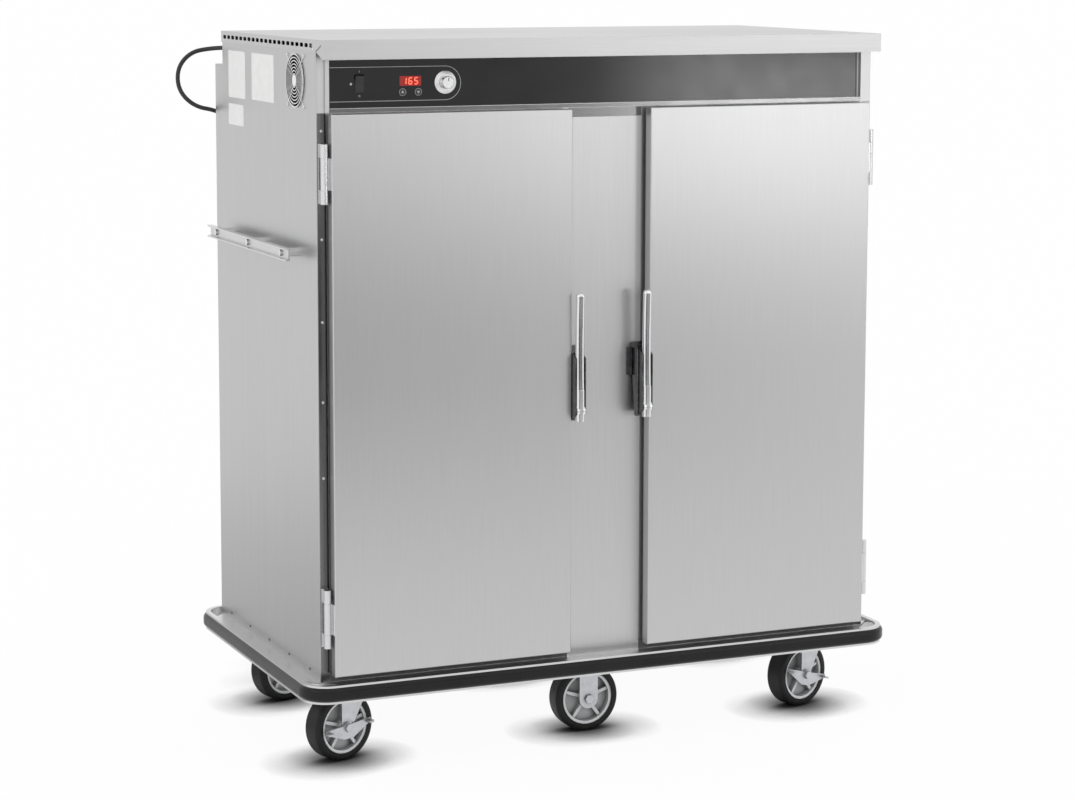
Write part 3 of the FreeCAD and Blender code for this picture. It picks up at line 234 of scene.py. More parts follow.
def brushed_sheet(name, grain, light, dark, rough_low, rough_high):
    material, shader = new_finish(name, light, rough_high, 1.0)
    fine = stretched_noise(material, grains[grain], 4.0)
    vary(material, fine, dark, light, shader.inputs["Base Color"])
    broad = stretched_noise(material, tuple(value * broad_share for value in grains[grain]), 2.0)
    vary(material, broad, rough_low, rough_high, shader.inputs["Roughness"])
    bump(material, shader, fine, scratch_strength, scratch_depth)
    shader.inputs["Anisotropic"].default_value = grain_pull
    return material


# Besides grain and roughness, these copies differ in tone. Each is set lighter or darker to paint the light
# and shade its faces get: side, back and cap darker, deck and rail lighter.
door_steel = brushed_sheet("door_steel", "upright", (0.59, 0.59, 0.59), (0.566, 0.566, 0.57), 0.35, 0.36)
frame_steel = brushed_sheet("frame_steel", "upright", (0.6, 0.6, 0.6), (0.572, 0.572, 0.576), 0.37, 0.39)
side_steel = brushed_sheet("side_steel", "upright", (0.55, 0.55, 0.55), (0.522, 0.522, 0.526), 0.36, 0.40)
cap_steel = brushed_sheet("cap_steel", "lengthwise", (0.575, 0.575, 0.577), (0.545, 0.545, 0.55), 0.36, 0.40)
deck_steel = brushed_sheet("deck_steel", "lengthwise", (0.68, 0.68, 0.68), (0.64, 0.64, 0.645), 0.28, 0.34)
rail_steel = brushed_sheet("rail_steel", "crosswise", (0.66, 0.66, 0.66), (0.60, 0.60, 0.605), 0.26, 0.34)
liner_steel = brushed_sheet("liner_steel", "upright", (0.56, 0.56, 0.56), (0.51, 0.51, 0.515), 0.36, 0.44)
print("brushed finishes:", len(grains), "grains")

# %% [markdown]
# ## Bright metal
# Levers, hinges, shelf wire and the fan's guard are chrome plated; the latch bodies and strikes get chrome
# darkened to paint the shade and dark reflections they show.
# Caster forks are zinc plated, which is bluer, duller and slightly cloudy from the bath.


# %% Chrome, zinc and the heater's sheath
def plated(name, light, dark, rough_low, rough_high, size):
    material, shader = new_finish(name, light, rough_high, 1.0)
    cloud = stretched_noise(material, (size, size, size), 3.0)
    vary(material, cloud, dark, light, shader.inputs["Base Color"])
    vary(material, cloud, rough_low, rough_high, shader.inputs["Roughness"])
    return material


chrome = plated("chrome_plate", (0.82, 0.82, 0.83), (0.78, 0.78, 0.79), 0.14, 0.18, 12)
satin_chrome = plated("satin_chrome", (0.70, 0.70, 0.71), (0.67, 0.67, 0.68), 0.23, 0.28, 12)
zinc = plated("zinc_plate", (0.60, 0.61, 0.63), (0.48, 0.49, 0.51), 0.26, 0.42, 70)
# Painted shade: this chrome is darkened to stand for the shade and dark reflections on the latch bodies and
# strikes.
shade_darkened_chrome = plated("shade_darkened_chrome", (0.17, 0.17, 0.175), (0.11, 0.11, 0.115), 0.20, 0.30, 80)
sheath = plated("heater_sheath", (0.24, 0.21, 0.19), (0.15, 0.13, 0.14), 0.35, 0.55, 40)
turned_aluminium = plated("turned_aluminium", (0.78, 0.78, 0.78), (0.70, 0.70, 0.71), 0.22, 0.30, 200)
print("plated finishes made")

# %% [markdown]
# ## Rubber, vinyl and plastics
# None of these is plain black: moulded parts have a fine orange-peel skin, and a tyre is dusty grey where it
# meets the floor. A noise gives each its skin, and another makes its colour uneven. A little sheen stands for
# the pale bloom that vinyl shows where it curves away.

# %% Moulded finishes
peel_strength = 0.25
bloom_roughness = 0.3


def moulded(name, light, dark, rough_low, rough_high, skin, depth, cloud=18):
    material, shader = new_finish(name, light, rough_high)
    patch = stretched_noise(material, (cloud, cloud, cloud), 4.0)
    vary(material, patch, dark, light, shader.inputs["Base Color"])
    vary(material, patch, rough_low, rough_high, shader.inputs["Roughness"])
    peel = stretched_noise(material, (skin, skin, skin), 2.0)
    bump(material, shader, peel, peel_strength, depth)
    return material


vinyl = moulded("bumper_vinyl", (0.011, 0.011, 0.012), (0.007, 0.007, 0.008), 0.26, 0.34, 500, 0.0002)
gasket_rubber = moulded("gasket_rubber", (0.020, 0.020, 0.021), (0.012, 0.012, 0.012), 0.55, 0.7, 700, 0.0003)
tyre_rubber = moulded("tyre_rubber", (0.012, 0.012, 0.012), (0.008, 0.008, 0.008), 0.4, 0.55, 400, 0.0005, 40)
cord_rubber = moulded("cord_rubber", (0.022, 0.022, 0.023), (0.014, 0.014, 0.015), 0.42, 0.58, 900, 0.0002)
hub_plastic = moulded("hub_plastic", (0.76, 0.77, 0.78), (0.70, 0.71, 0.72), 0.36, 0.50, 350, 0.0003, 50)
black_plastic = moulded("black_plastic", (0.018, 0.018, 0.019), (0.011, 0.011, 0.012), 0.3, 0.45, 800, 0.0002)
wool = moulded("mineral_wool", (0.62, 0.55, 0.33), (0.45, 0.39, 0.22), 0.85, 0.95, 250, 0.004, 90)


def paint_pocket_shade(material, reach):
    """Paints shade into the colour where walls stand close together, darkening a moulding's pockets."""
    tree = material.node_tree
    shader = tree.nodes["Principled BSDF"]
    colour = shader.inputs["Base Color"].links[0].from_socket
    pocket_shade = tree.nodes.new("ShaderNodeAmbientOcclusion")
    pocket_shade.inputs["Distance"].default_value = reach
    pocket_shade.only_local = True
    tree.links.new(colour, pocket_shade.inputs["Color"])
    tree.links.new(pocket_shade.outputs["Color"], shader.inputs["Base Color"])


for material, gloss, bloom in ((vinyl, 0.24, 0.3), (tyre_rubber, 0.25, 0.0)):
    skin = material.node_tree.nodes["Principled BSDF"].inputs
    skin["Specular IOR Level"].default_value = gloss
    skin["Sheen Weight"].default_value = bloom
    skin["Sheen Roughness"].default_value = bloom_roughness
# Painted shade: hub and fork colours darken in their pockets and between their ribs.
paint_pocket_shade(hub_plastic, 0.03)
paint_pocket_shade(zinc, 0.015)
print("moulded finishes made")

# %% [markdown]
# ## The control panel's overlay
# The panel is a glossy black overlay. Its depth comes from a clear coat over a nearly black base, with a
# trace of unevenness in the gloss so that reflections are not perfectly flat.

# %% Gloss overlay
overlay, overlay_shader = new_finish("gloss_overlay", (0.007, 0.007, 0.008), 0.15)
overlay_shader.inputs["Specular IOR Level"].default_value = 0.28
overlay_shader.inputs["Coat Weight"].default_value = 0.15
overlay_shader.inputs["Coat Roughness"].default_value = 0.15
ripple = stretched_noise(overlay, (14, 14, 14), 2.0)
vary(overlay, ripple, 0.13, 0.17, overlay_shader.inputs["Roughness"])
vary(overlay, ripple, (0.005, 0.005, 0.006), (0.009, 0.009, 0.010), overlay_shader.inputs["Base Color"])
print("overlay made")

# %% [markdown]
# ## Give every solid its finish
# A node keeps its mesh and only gets a material, chosen by what the real piece is made of. The loop checks
# that no node is left with the plain colour it came with.

# %% Assign finishes
finish_of = {
    door_steel: ["door_left_skin", "door_right_skin"],
    frame_steel: ["front_frame"],
    side_steel: ["side_panel_left", "side_panel_right", "back_panel"],
    cap_steel: ["top_cap"],
    deck_steel: ["base_deck", "bumper_channel"],
    rail_steel: ["push_handle"],
    liner_steel: ["inner_liner", "door_left_inner_pan", "door_right_inner_pan"],
    chrome: ["door_left_latch_lever", "door_right_latch_lever", "wire_shelves", "fan_guard"],
    shade_darkened_chrome: ["door_left_latch_body", "door_right_latch_body", "latch_strikes"],
    satin_chrome: ["frame_hinges", "door_left_hinge_leaves", "door_right_hinge_leaves", "handle_spacers"],
    turned_aluminium: ["thermostat_knob"],
    zinc: ["swivel_plates", "rigid_forks"],
    sheath: ["heater_element"],
    vinyl: ["bumper_strip"],
    gasket_rubber: ["door_left_gasket", "door_right_gasket"],
    cord_rubber: ["power_cord", "cord_coil", "power_plug", "cord_gland"],
    black_plastic: ["rocker_switch", "key_up", "key_down", "fan_frame", "fan_rotor"],
    overlay: ["control_fascia"],
    wool: ["wall_insulation"],
}
for name in nodes:
    if name.startswith(("fork_", "brake_")):
        finish_of[zinc].append(name)
finish_of[hub_plastic] = [name for name in nodes if name.startswith("hub_")]
finish_of[tyre_rubber] = [name for name in nodes if name.startswith("tyre_")]
finished = set()
for material, names in finish_of.items():
    for name in names:
        nodes[name].data.materials.clear()
        nodes[name].data.materials.append(material)
        finished.add(name)
print("nodes with a finish:", len(finished), "left over:", sorted(set(nodes) - finished))

# %% [markdown]
# ## Making new pieces
# Small pieces are modelled with bmesh operators and kept as one object for each body that carries them.
# A helper turns a bmesh into an object at the origin, recalculates its normals and tells the frame which
# body it rides on. Another gives a flat drawing its thickness and stands it upright, facing the front.

# %% Helpers for pieces
sharp_edge = math.radians(35)
upright = Matrix.Rotation(math.radians(90), 4, "X")


def finish_piece(name, mesh_builder, material, body):
    """Object from a bmesh, riding on a body."""
    bmesh.ops.recalc_face_normals(mesh_builder, faces=mesh_builder.faces)
    mesh = bpy.data.meshes.new(name)
    mesh_builder.to_mesh(mesh)
    mesh_builder.free()
    mesh.materials.append(material)
    mesh.shade_smooth()
    mesh.set_sharp_from_angle(angle=sharp_edge)
    piece = bpy.data.objects.new(name, mesh)
    scene.collection.objects.link(piece)
    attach(piece, body)
    return piece


def facing(direction, place):
    """Matrix that stands a shape made along Z on a place, pointing in a direction."""
    turn = Vector((0, 0, 1)).rotation_difference(Vector(direction))
    return Matrix.Translation(Vector(place)) @ turn.to_matrix().to_4x4()


def stamp(builder, template, matrix):
    """Adds a copy of a template mesh, moved by a matrix."""
    start = len(builder.verts)
    builder.from_mesh(template)
    builder.verts.ensure_lookup_table()
    bmesh.ops.transform(builder, matrix=matrix, verts=builder.verts[start:])


def template_from(builder, name):
    """Mesh kept for stamping."""
    mesh = bpy.data.meshes.new(name)
    builder.to_mesh(mesh)
    builder.free()
    return mesh


def moved_verts(result):
    """Vertices among what an operator returns."""
    return [item for item in result["geom"] if isinstance(item, bmesh.types.BMVert)]


def stand_on_front(builder, thickness, place):
    """Thickens a flat drawing and stands it on a place, towards -Y."""
    grown = bmesh.ops.extrude_face_region(builder, geom=list(builder.faces))
    bmesh.ops.translate(builder, verts=moved_verts(grown), vec=(0, 0, thickness))
    bmesh.ops.transform(builder, matrix=Matrix.Translation(place) @ upright, verts=builder.verts)


print("piece helpers ready")

# %% [markdown]
# ## The lead as a curve
# The order and the end points are set after the points are added, or the spline stays straight. The curve's
# bevel gives it its thickness. It stands for the plain tube and the coil of the solids.

# %% Lead
curve = bpy.data.curves.new("mains_lead", "CURVE")
curve.dimensions = "3D"
spline = curve.splines.new("NURBS")
spline.points.add(len(route) - 1)
for point, place in zip(spline.points, route):
    point.co = (*place, 1)
spline.order_u = 3
spline.use_endpoint_u = True
curve.resolution_u = 6
curve.bevel_depth = cord_radius
curve.bevel_resolution = 4
curve.use_fill_caps = True
curve.materials.append(cord_rubber)
lead = bpy.data.objects.new("mains_lead", curve)
scene.collection.objects.link(lead)
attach(lead, "cabinet")
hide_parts("power_cord", "cord_coil")
print("lead has", len(spline.points), "points")

# %% [markdown]
# ## The tie round the coil
# A strap keeps the coil together. It is a flattened ring with a wall, drawn round the bundle's section where
# both layers lie side by side.

# %% Coil tie
tie_angle = math.radians(20)
tie_half_wide, tie_half_high = 0.0165, 0.0105
tie_length, tie_wall = 0.014, 0.0012
bundle_inset, bundle_rise = 0.006, 0.0058
outward = heading * math.cos(tie_angle) + across * math.sin(tie_angle)
along_turn = across * math.cos(tie_angle) - heading * math.sin(tie_angle)
tie_middle = coil_centre + outward * (coil_radius - bundle_inset) + Vector((0, 0, bundle_rise))
builder = bmesh.new()
bmesh.ops.create_circle(builder, segments=28, radius=1.0)
swept = bmesh.ops.extrude_edge_only(builder, edges=list(builder.edges))
bmesh.ops.translate(builder, verts=moved_verts(swept), vec=(0, 0, 1))
tie_axes = (outward * tie_half_wide, Vector((0, 0, tie_half_high)), along_turn * tie_length)
axes = Matrix(tie_axes).transposed().to_4x4()
bmesh.ops.transform(builder, matrix=Matrix.Translation(tie_middle) @ axes, verts=builder.verts)
bmesh.ops.solidify(builder, geom=list(builder.faces), thickness=-tie_wall)
tie = finish_piece("coil_tie", builder, black_plastic, "cabinet")
print("tie at", [round(value, 3) for value in tie_middle])

# %% [markdown]
# ## Screws
# Pan-head screws hold the sheets, the fan's guard and the hinges. One head is a low cone with a rounded rim
# and a sunk recess, stood on its place by a matrix, and repeated along a list of places. Its sizes are shares
# of its radius.

# %% Screw heads
head_top, head_height, rim_round = 0.8, 0.5, 0.16
recess_inset, recess_depth = 0.28, 0.3
builder = bmesh.new()
bmesh.ops.create_cone(builder, cap_ends=True, segments=18, radius1=1.0, radius2=head_top, depth=head_height)
bmesh.ops.translate(builder, verts=builder.verts, vec=(0, 0, head_height / 2))
crown = max(builder.faces, key=lambda face: face.calc_center_median().z)
soften = {"affect": "EDGES", "segments": 2, "profile": 0.5, "material": -1}
bmesh.ops.bevel(builder, geom=list(crown.edges), offset=rim_round, **soften)
crown = max(builder.faces, key=lambda face: face.calc_center_median().z)
bmesh.ops.inset_region(builder, faces=[crown], thickness=recess_inset)
sunk = bmesh.ops.extrude_face_region(builder, geom=[crown])
bmesh.ops.translate(builder, verts=moved_verts(sunk), vec=(0, 0, -recess_depth))
bmesh.ops.delete(builder, geom=[crown], context="FACES")
screw_head = template_from(builder, "screw_head")


def screws(name, places, direction, radius=0.0042, finish=satin_chrome):
    builder = bmesh.new()
    for place in places:
        stamp(builder, screw_head, facing(direction, place) @ Matrix.Scale(radius, 4))
    finish_piece(name, builder, finish, "cabinet")


print("screw head has", len(screw_head.polygons), "faces")

# %% Screws in place
deck_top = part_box("base_deck")[1].z
body_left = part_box("side_panel_left")[0].x
body_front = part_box("side_panel_left")[0].y
body_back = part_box("side_panel_left")[1].y
guard_low, guard_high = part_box("fan_guard")
fan_middle = (guard_low + guard_high) / 2
lug_reach, lug_thick = 0.0525, 0.002
corners = [(a, b) for a in (-1, 1) for b in (-1, 1)]
places = []
for a, b in corners:
    places.append((body_left - lug_thick, fan_middle.y + a * lug_reach, fan_middle.z + b * lug_reach))
screws("fan_screws", places, (-1, 0, 0))
stile_heights = [deck_top + rise for rise in (0.436, 0.596, 0.764, 0.936, 1.160)]
stile_inset, strip_stand = 0.0105, 0.0004
for side, sign in (("left", -1), ("right", 1)):
    column = sign * (-body_left - stile_inset)
    places = [(column, body_front - strip_stand, height) for height in stile_heights]
    screws("stile_screws_" + side, places, (0, -1, 0), 0.0036)
back_column = 0.63
places = []
for rise in (0.066, 0.456, 0.846, 1.226):
    places += [(sign * back_column, body_back, deck_top + rise) for sign in (-1, 1)]
screws("back_screws", places, (0, 1, 0))
cap_low, cap_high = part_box("top_cap")
cap_drop, cap_columns = 0.0205, (0.012, 0.32, 0.625)
row_start, row_pitch, row_rise = 0.068, 0.137, 0.0145
for side, x, way in (("left", cap_low.x, -1), ("right", cap_high.x, 1)):
    places = [(x, body_front + along, cap_high.z - cap_drop) for along in cap_columns]
    screws("cap_screws_" + side, places, (way, 0, 0), 0.0034)
    columns = [body_front + row_start + index * row_pitch for index in range(5)]
    places = [(way * -body_left, column, deck_top + row_rise) for column in columns]
    screws("side_screws_" + side, places, (way, 0, 0), 0.0032, shade_darkened_chrome)
plate_thick = 0.004
plate_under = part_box("rigid_forks")[1].z - plate_thick
bolt_x, bolt_y = 0.039, 0.032
bolts = []
for caster_x in (-0.5585, 0, 0.5585):
    for caster_y in (-0.239, 0.256):
        for a, b in corners:
            bolts.append((caster_x + a * bolt_x, caster_y + b * bolt_y, plate_under))
screws("caster_bolts", bolts, (0, 0, -1), 0.006)
print("screws placed, with", len(bolts), "caster bolts")

# %% [markdown]
# ## The lit display
# A dark red window carries three seven-segment figures. Each segment is a six-sided bar that glows, and the
# window is a thin plate with rounded corners on the overlay.

# %% Display window
panel_low, panel_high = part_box("control_fascia")
face_y = panel_low.y
window_finish, window_shader = new_finish("display_window", (0.10, 0.004, 0.003), 0.15)
tint = stretched_noise(window_finish, (60, 60, 60), 2.0)
vary(window_finish, tint, (0.08, 0.003, 0.002), (0.13, 0.006, 0.004), window_shader.inputs["Base Color"])
window_shader.inputs["Emission Color"].default_value = (0.6, 0.01, 0.005, 1)
window_shader.inputs["Emission Strength"].default_value = 0.35
lit, lit_shader = new_finish("lit_segment", (0.6, 0.05, 0.03), 0.4)
glow = stretched_noise(lit, (150, 150, 150), 1.0)
vary(lit, glow, (0.55, 0.04, 0.03), (0.65, 0.06, 0.04), lit_shader.inputs["Base Color"])
lit_shader.inputs["Emission Color"].default_value = (1.0, 0.10, 0.05, 1)
lit_shader.inputs["Emission Strength"].default_value = 3.0
window_middle = Vector((-0.4471, face_y, panel_low.z + 0.054))
window_half = Vector((0.0239, 0.0, 0.0101))
window_round, window_thick = 0.0015, 0.0006


def rounded_plate(half_x, half_z, radius, thickness):
    """Flat plate with round corners, standing off the plane y = 0 towards -Y."""
    builder = bmesh.new()
    bmesh.ops.create_grid(builder, x_segments=1, y_segments=1, size=1.0)
    bmesh.ops.transform(builder, matrix=Matrix.Diagonal((half_x, half_z, 1, 1)), verts=builder.verts)
    rounding = {"affect": "VERTICES", "segments": 5, "profile": 0.5, "material": -1}
    bmesh.ops.bevel(builder, geom=list(builder.verts), offset=radius, **rounding)
    stand_on_front(builder, thickness, (0, 0, 0))
    return builder


builder = rounded_plate(window_half.x, window_half.z, window_round, window_thick)
bmesh.ops.translate(builder, verts=builder.verts, vec=window_middle)
finish_piece("display_window", builder, window_finish, "cabinet")
print("window", [round(value * 2000, 1) for value in window_half], "mm")


# %% Seven-segment figures
def segment_bar(length):
    """Six-sided bar along Y with pointed ends."""
    builder = bmesh.new()
    bmesh.ops.create_circle(builder, cap_ends=True, segments=6, radius=1.0)
    half = length / 2
    slim = 0.00085
    for vert in builder.verts:
        tip = abs(vert.co.y) > 0.9
        vert.co.x = 0 if tip else math.copysign(slim, vert.co.x)
        vert.co.y = math.copysign(half if tip else half - slim, vert.co.y)
    return template_from(builder, "segment_bar")


figure_bars = {"1": "bc", "5": "acdfg", "6": "acdefg"}
figure_wide = 0.0068
figure_tall = 0.0130
figure_pitch = 0.0128
figure_lean = 0.10
bar_gap, bar_thick = 0.0006, 0.0003
bar_places = {
    "a": (0.5, 1.0, False),
    "b": (1.0, 0.75, True),
    "c": (1.0, 0.25, True),
    "d": (0.5, 0.0, False),
    "e": (0.0, 0.25, True),
    "f": (0.0, 0.75, True),
    "g": (0.5, 0.5, False),
}
upright_bar = segment_bar(figure_tall / 2 - bar_gap)
level_bar = segment_bar(figure_wide - bar_gap)
quarter = Matrix.Rotation(math.radians(90), 4, "Z")
builder = bmesh.new()
for place, figure in enumerate("165"):
    left = (place - 1) * figure_pitch - figure_wide / 2
    for bar in figure_bars[figure]:
        share_x, share_z, standing = bar_places[bar]
        spot = Matrix.Translation((left + share_x * figure_wide, (share_z - 0.5) * figure_tall, 0))
        stamp(builder, upright_bar if standing else level_bar, spot if standing else spot @ quarter)
for vert in builder.verts:
    vert.co.x += vert.co.y * figure_lean
stand_on_front(builder, bar_thick, window_middle - Vector((0, window_thick, 0)))
finish_piece("display_figures", builder, lit, "cabinet")
print("figures lit")

# %% [markdown]
# ## Printed lines on the overlay
# A thin silver line runs along the top and bottom of the control group and round the knob. A circle whose
# left half is drawn out makes the outline; insetting it and dropping the middle leaves the line.

# %% Silver line
ink, ink_shader = new_finish("silver_ink", (0.42, 0.42, 0.42), 0.4)
mottle = stretched_noise(ink, (200, 200, 200), 2.0)
vary(ink, mottle, (0.36, 0.36, 0.36), (0.46, 0.46, 0.46), ink_shader.inputs["Base Color"])
knob_low, knob_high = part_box("thermostat_knob")
knob_middle = (knob_low + knob_high) / 2
line_radius = 0.0357
line_left = panel_low.x
line_width = 0.0011
line_drop = 0.0015
line_start, line_trim = 0.0008, 0.0016
print_depth = 0.0002


def drawn_out_circle(builder, radius, left):
    """Round-ended outline: the left half of a circle is moved to a straight end."""
    bmesh.ops.create_circle(builder, cap_ends=True, segments=64, radius=radius)
    for vert in builder.verts:
        if vert.co.x < -1e-6:
            vert.co.x = left
            vert.co.y = math.copysign(radius, vert.co.y)
    bmesh.ops.remove_doubles(builder, verts=builder.verts, dist=1e-6)


builder = bmesh.new()
drawn_out_circle(builder, line_radius, line_left + line_start - knob_middle.x)
inner = list(builder.faces)
bmesh.ops.inset_region(builder, faces=inner, thickness=line_width, use_boundary=True, use_even_offset=True)
bmesh.ops.delete(builder, geom=inner, context="FACES")
line_end = line_left - knob_middle.x + line_trim
end_faces = [face for face in builder.faces if face.calc_center_median().x < line_end]
bmesh.ops.delete(builder, geom=end_faces, context="FACES")
stand_on_front(builder, print_depth, (knob_middle.x, face_y, knob_middle.z - line_drop))
finish_piece("silver_line", builder, ink, "cabinet")
print("line round the knob at x", round(knob_middle.x, 4))

# %% [markdown]
# ## Key rings, knob mark and switch marks
# Each key has a printed ring and an arrowhead, the knob a black pointer line, and the switch a bar for on
# and a ring for off. The ring and arrow ride on the key, so they move with it when it is pressed.

# %% Small prints
key_ring, key_arrow, ring_width = 0.0076, 0.0040, 0.0007
off_radius, off_width, off_drop = 0.0022, 0.0006, 0.0255
on_half = (0.0004, 0.0021)
on_rise = 0.0250
pointer_radius, pointer_start, pointer_end = 0.0007, 0.003, 0.0095


def ring_drawing(radius, width, segments=32):
    builder = bmesh.new()
    bmesh.ops.create_circle(builder, cap_ends=True, segments=segments, radius=radius)
    middle = list(builder.faces)
    bmesh.ops.inset_region(builder, faces=middle, thickness=width, use_boundary=True, use_even_offset=True)
    bmesh.ops.delete(builder, geom=middle, context="FACES")
    return builder


for name, body, turn in (("key_up", "up_key", 0), ("key_down", "down_key", 180)):
    key_low, key_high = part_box(name)
    middle = (key_low + key_high) / 2
    builder = ring_drawing(key_ring, ring_width)
    arrow = bmesh.ops.create_circle(builder, cap_ends=True, segments=3, radius=key_arrow)
    spin = Matrix.Rotation(math.radians(turn), 3, "Z")
    bmesh.ops.rotate(builder, verts=arrow["verts"], cent=(0, 0, 0), matrix=spin)
    stand_on_front(builder, print_depth, (middle.x, key_low.y, middle.z))
    finish_piece(name + "_print", builder, ink, body)
rocker_low, rocker_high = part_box("rocker_switch")
rocker_middle = (rocker_low + rocker_high) / 2
builder = ring_drawing(off_radius, off_width, 20)
stand_on_front(builder, print_depth, (rocker_middle.x, face_y, rocker_middle.z - off_drop))
finish_piece("off_mark", builder, ink, "cabinet")
builder = bmesh.new()
bmesh.ops.create_grid(builder, x_segments=1, y_segments=1, size=1.0)
bmesh.ops.transform(builder, matrix=Matrix.Diagonal((*on_half, 1, 1)), verts=builder.verts)
stand_on_front(builder, print_depth, (rocker_middle.x, face_y, rocker_middle.z + on_rise))
finish_piece("on_mark", builder, ink, "cabinet")
builder = bmesh.new()
bmesh.ops.create_circle(builder, cap_ends=True, segments=12, radius=pointer_radius)
for vert in builder.verts:
    vert.co.y += pointer_end if vert.co.y > 0 else pointer_start
stand_on_front(builder, 2 * print_depth, (knob_middle.x, knob_low.y, knob_middle.z))
finish_piece("knob_pointer", builder, black_plastic, "knob")
print("prints on keys, knob and panel")

# %% [markdown]
# ## Pilot lamp
# A small domed lens in a bezel ring beside the switch. Half a sphere, cut with a plane, makes the dome, and
# a spun profile makes the ring.

# %% Pilot lamp
lens_finish, lens_shader = new_finish("lamp_lens", (0.55, 0.50, 0.48), 0.18)
haze = stretched_noise(lens_finish, (300, 300, 300), 2.0)
vary(lens_finish, haze, (0.45, 0.40, 0.39), (0.65, 0.60, 0.58), lens_shader.inputs["Base Color"])
lamp_place = (-0.5781, face_y, panel_low.z + 0.0495)
lens_radius = 0.0028
builder = bmesh.new()
bmesh.ops.create_uvsphere(builder, u_segments=20, v_segments=12, radius=lens_radius)
geometry = list(builder.verts) + list(builder.edges) + list(builder.faces)
bmesh.ops.bisect_plane(builder, geom=geometry, plane_co=(0, 0, 0), plane_no=(0, 0, -1), clear_outer=True)
bmesh.ops.remove_doubles(builder, verts=builder.verts, dist=1e-6)
bmesh.ops.holes_fill(builder, edges=[edge for edge in builder.edges if edge.is_boundary])
bmesh.ops.transform(builder, matrix=facing((0, -1, 0), lamp_place), verts=builder.verts)
finish_piece("lamp_lens", builder, lens_finish, "cabinet")
builder = bmesh.new()
section = ((0.0029, 0), (0.0041, 0), (0.0039, 0.0009), (0.0030, 0.0012))
profile = [builder.verts.new((x, 0, z)) for x, z in section]
loop = [builder.edges.new((profile[index], profile[(index + 1) % 4])) for index in range(4)]
turn = {"axis": (0, 0, 1), "cent": (0, 0, 0), "angle": math.tau, "steps": 24}
bmesh.ops.spin(builder, geom=profile + loop, use_merge=True, **turn)
bmesh.ops.transform(builder, matrix=facing((0, -1, 0), lamp_place), verts=builder.verts)
finish_piece("lamp_ring", builder, black_plastic, "cabinet")
print("lamp at", lamp_place)

# %% [markdown]
# ## Blank plates on the side
# Three pale adhesive plates sit on the left side behind the fan. They stay blank here. Each is placed in
# millimetres by its distance behind the front and below the top.

# %% Side plates
paper, paper_shader = new_finish("blank_plate", (0.74, 0.74, 0.73), 0.5)
fibre = stretched_noise(paper, (40, 40, 40), 3.0)
vary(paper, fibre, (0.70, 0.70, 0.695), (0.75, 0.75, 0.745), paper_shader.inputs["Base Color"])
plates = [((473, 146), (595, 42)), ((274, 144), (427, 42)), ((488, 207), (596, 160))]
plate_round, film_thick = 0.002, 0.0003
to_left = Matrix.Rotation(math.radians(-90), 4, "Z")
for index, (low, high) in enumerate(plates):
    half_wide = (high[0] - low[0]) / 2000
    half_high = (low[1] - high[1]) / 2000
    builder = rounded_plate(half_wide, half_high, plate_round, film_thick)
    centre_y = body_front + (high[0] + low[0]) / 2000
    place = Matrix.Translation((body_left, centre_y, cap_high.z - (high[1] + low[1]) / 2000))
    bmesh.ops.transform(builder, matrix=place @ to_left, verts=builder.verts)
    finish_piece("blank_plate_" + str(index + 1), builder, paper, "cabinet")
print(len(plates), "blank plates")

# %% [markdown]
# ## Dark strips round the doors, partly painted shade
# Thin dark strips stand beside the hinges, below the doors, under the control panel and at the top of the
# mullion. Beside the hinges, below the doors and on the mullion their darkness is painted shade, where doors
# and panel shade the frame. Behind an open door a strip covers the edge of the wool between sill and liner.
# Each strip is a thin plate with rounded corners. The strips beside the hinges, under the panel and on the
# mullion are dark polished steel, which mirrors floor and lamps.

# %% Dark trims
# Dark trim colour; on the sill strip below the doors it is painted shade.
dark_trim_and_painted_shade, trim_shader = new_finish("dark_trim_and_painted_shade_strip", (0.092, 0.092, 0.094), 0.4)
scuff = stretched_noise(dark_trim_and_painted_shade, (90, 90, 6), 3.0)
vary(dark_trim_and_painted_shade, scuff, (0.072, 0.072, 0.074), (0.112, 0.112, 0.114), trim_shader.inputs["Base Color"])
vary(dark_trim_and_painted_shade, scuff, 0.32, 0.46, trim_shader.inputs["Roughness"])
# Steel darkened to paint the shade on the stiles and at the top of the mullion, and a dark strip under the
# panel.
dark_steel_and_painted_shade = plated("dark_steel_and_painted_shade", (0.17, 0.17, 0.172), (0.15, 0.15, 0.152), 0.17, 0.23, 12)
trim_thick, trim_round, trim_gap, clearance = 0.0005, 0.0008, 0.001, 0.0005
edge_inset, sill_rise = 0.0015, 0.006
stile_width, door_lap, frame_depth, bay_floor = 0.045, 0.020, 0.038, 0.045
cover_margin, cover_drop, panel_stand = 0.006, 0.019, 0.0012
end_strip, end_line, line_stand = (0.013, 0.001), (0.009, 0.0065), 0.0003
door_low, door_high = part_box("door_left_skin")
strip_low = deck_top + clearance
strip_top = door_high.z + trim_gap


def strip_on_front(name, low_x, high_x, low_z, high_z, y, finish=dark_trim_and_painted_shade, slot="gasket_rubber"):
    builder = rounded_plate((high_x - low_x) / 2, (high_z - low_z) / 2, trim_round, trim_thick)
    middle = Vector(((low_x + high_x) / 2, y, (low_z + high_z) / 2))
    bmesh.ops.translate(builder, verts=builder.verts, vec=middle)
    finish_piece(name, builder, finish, "cabinet")


polished = {"finish": dark_steel_and_painted_shade, "slot": "stainless"}
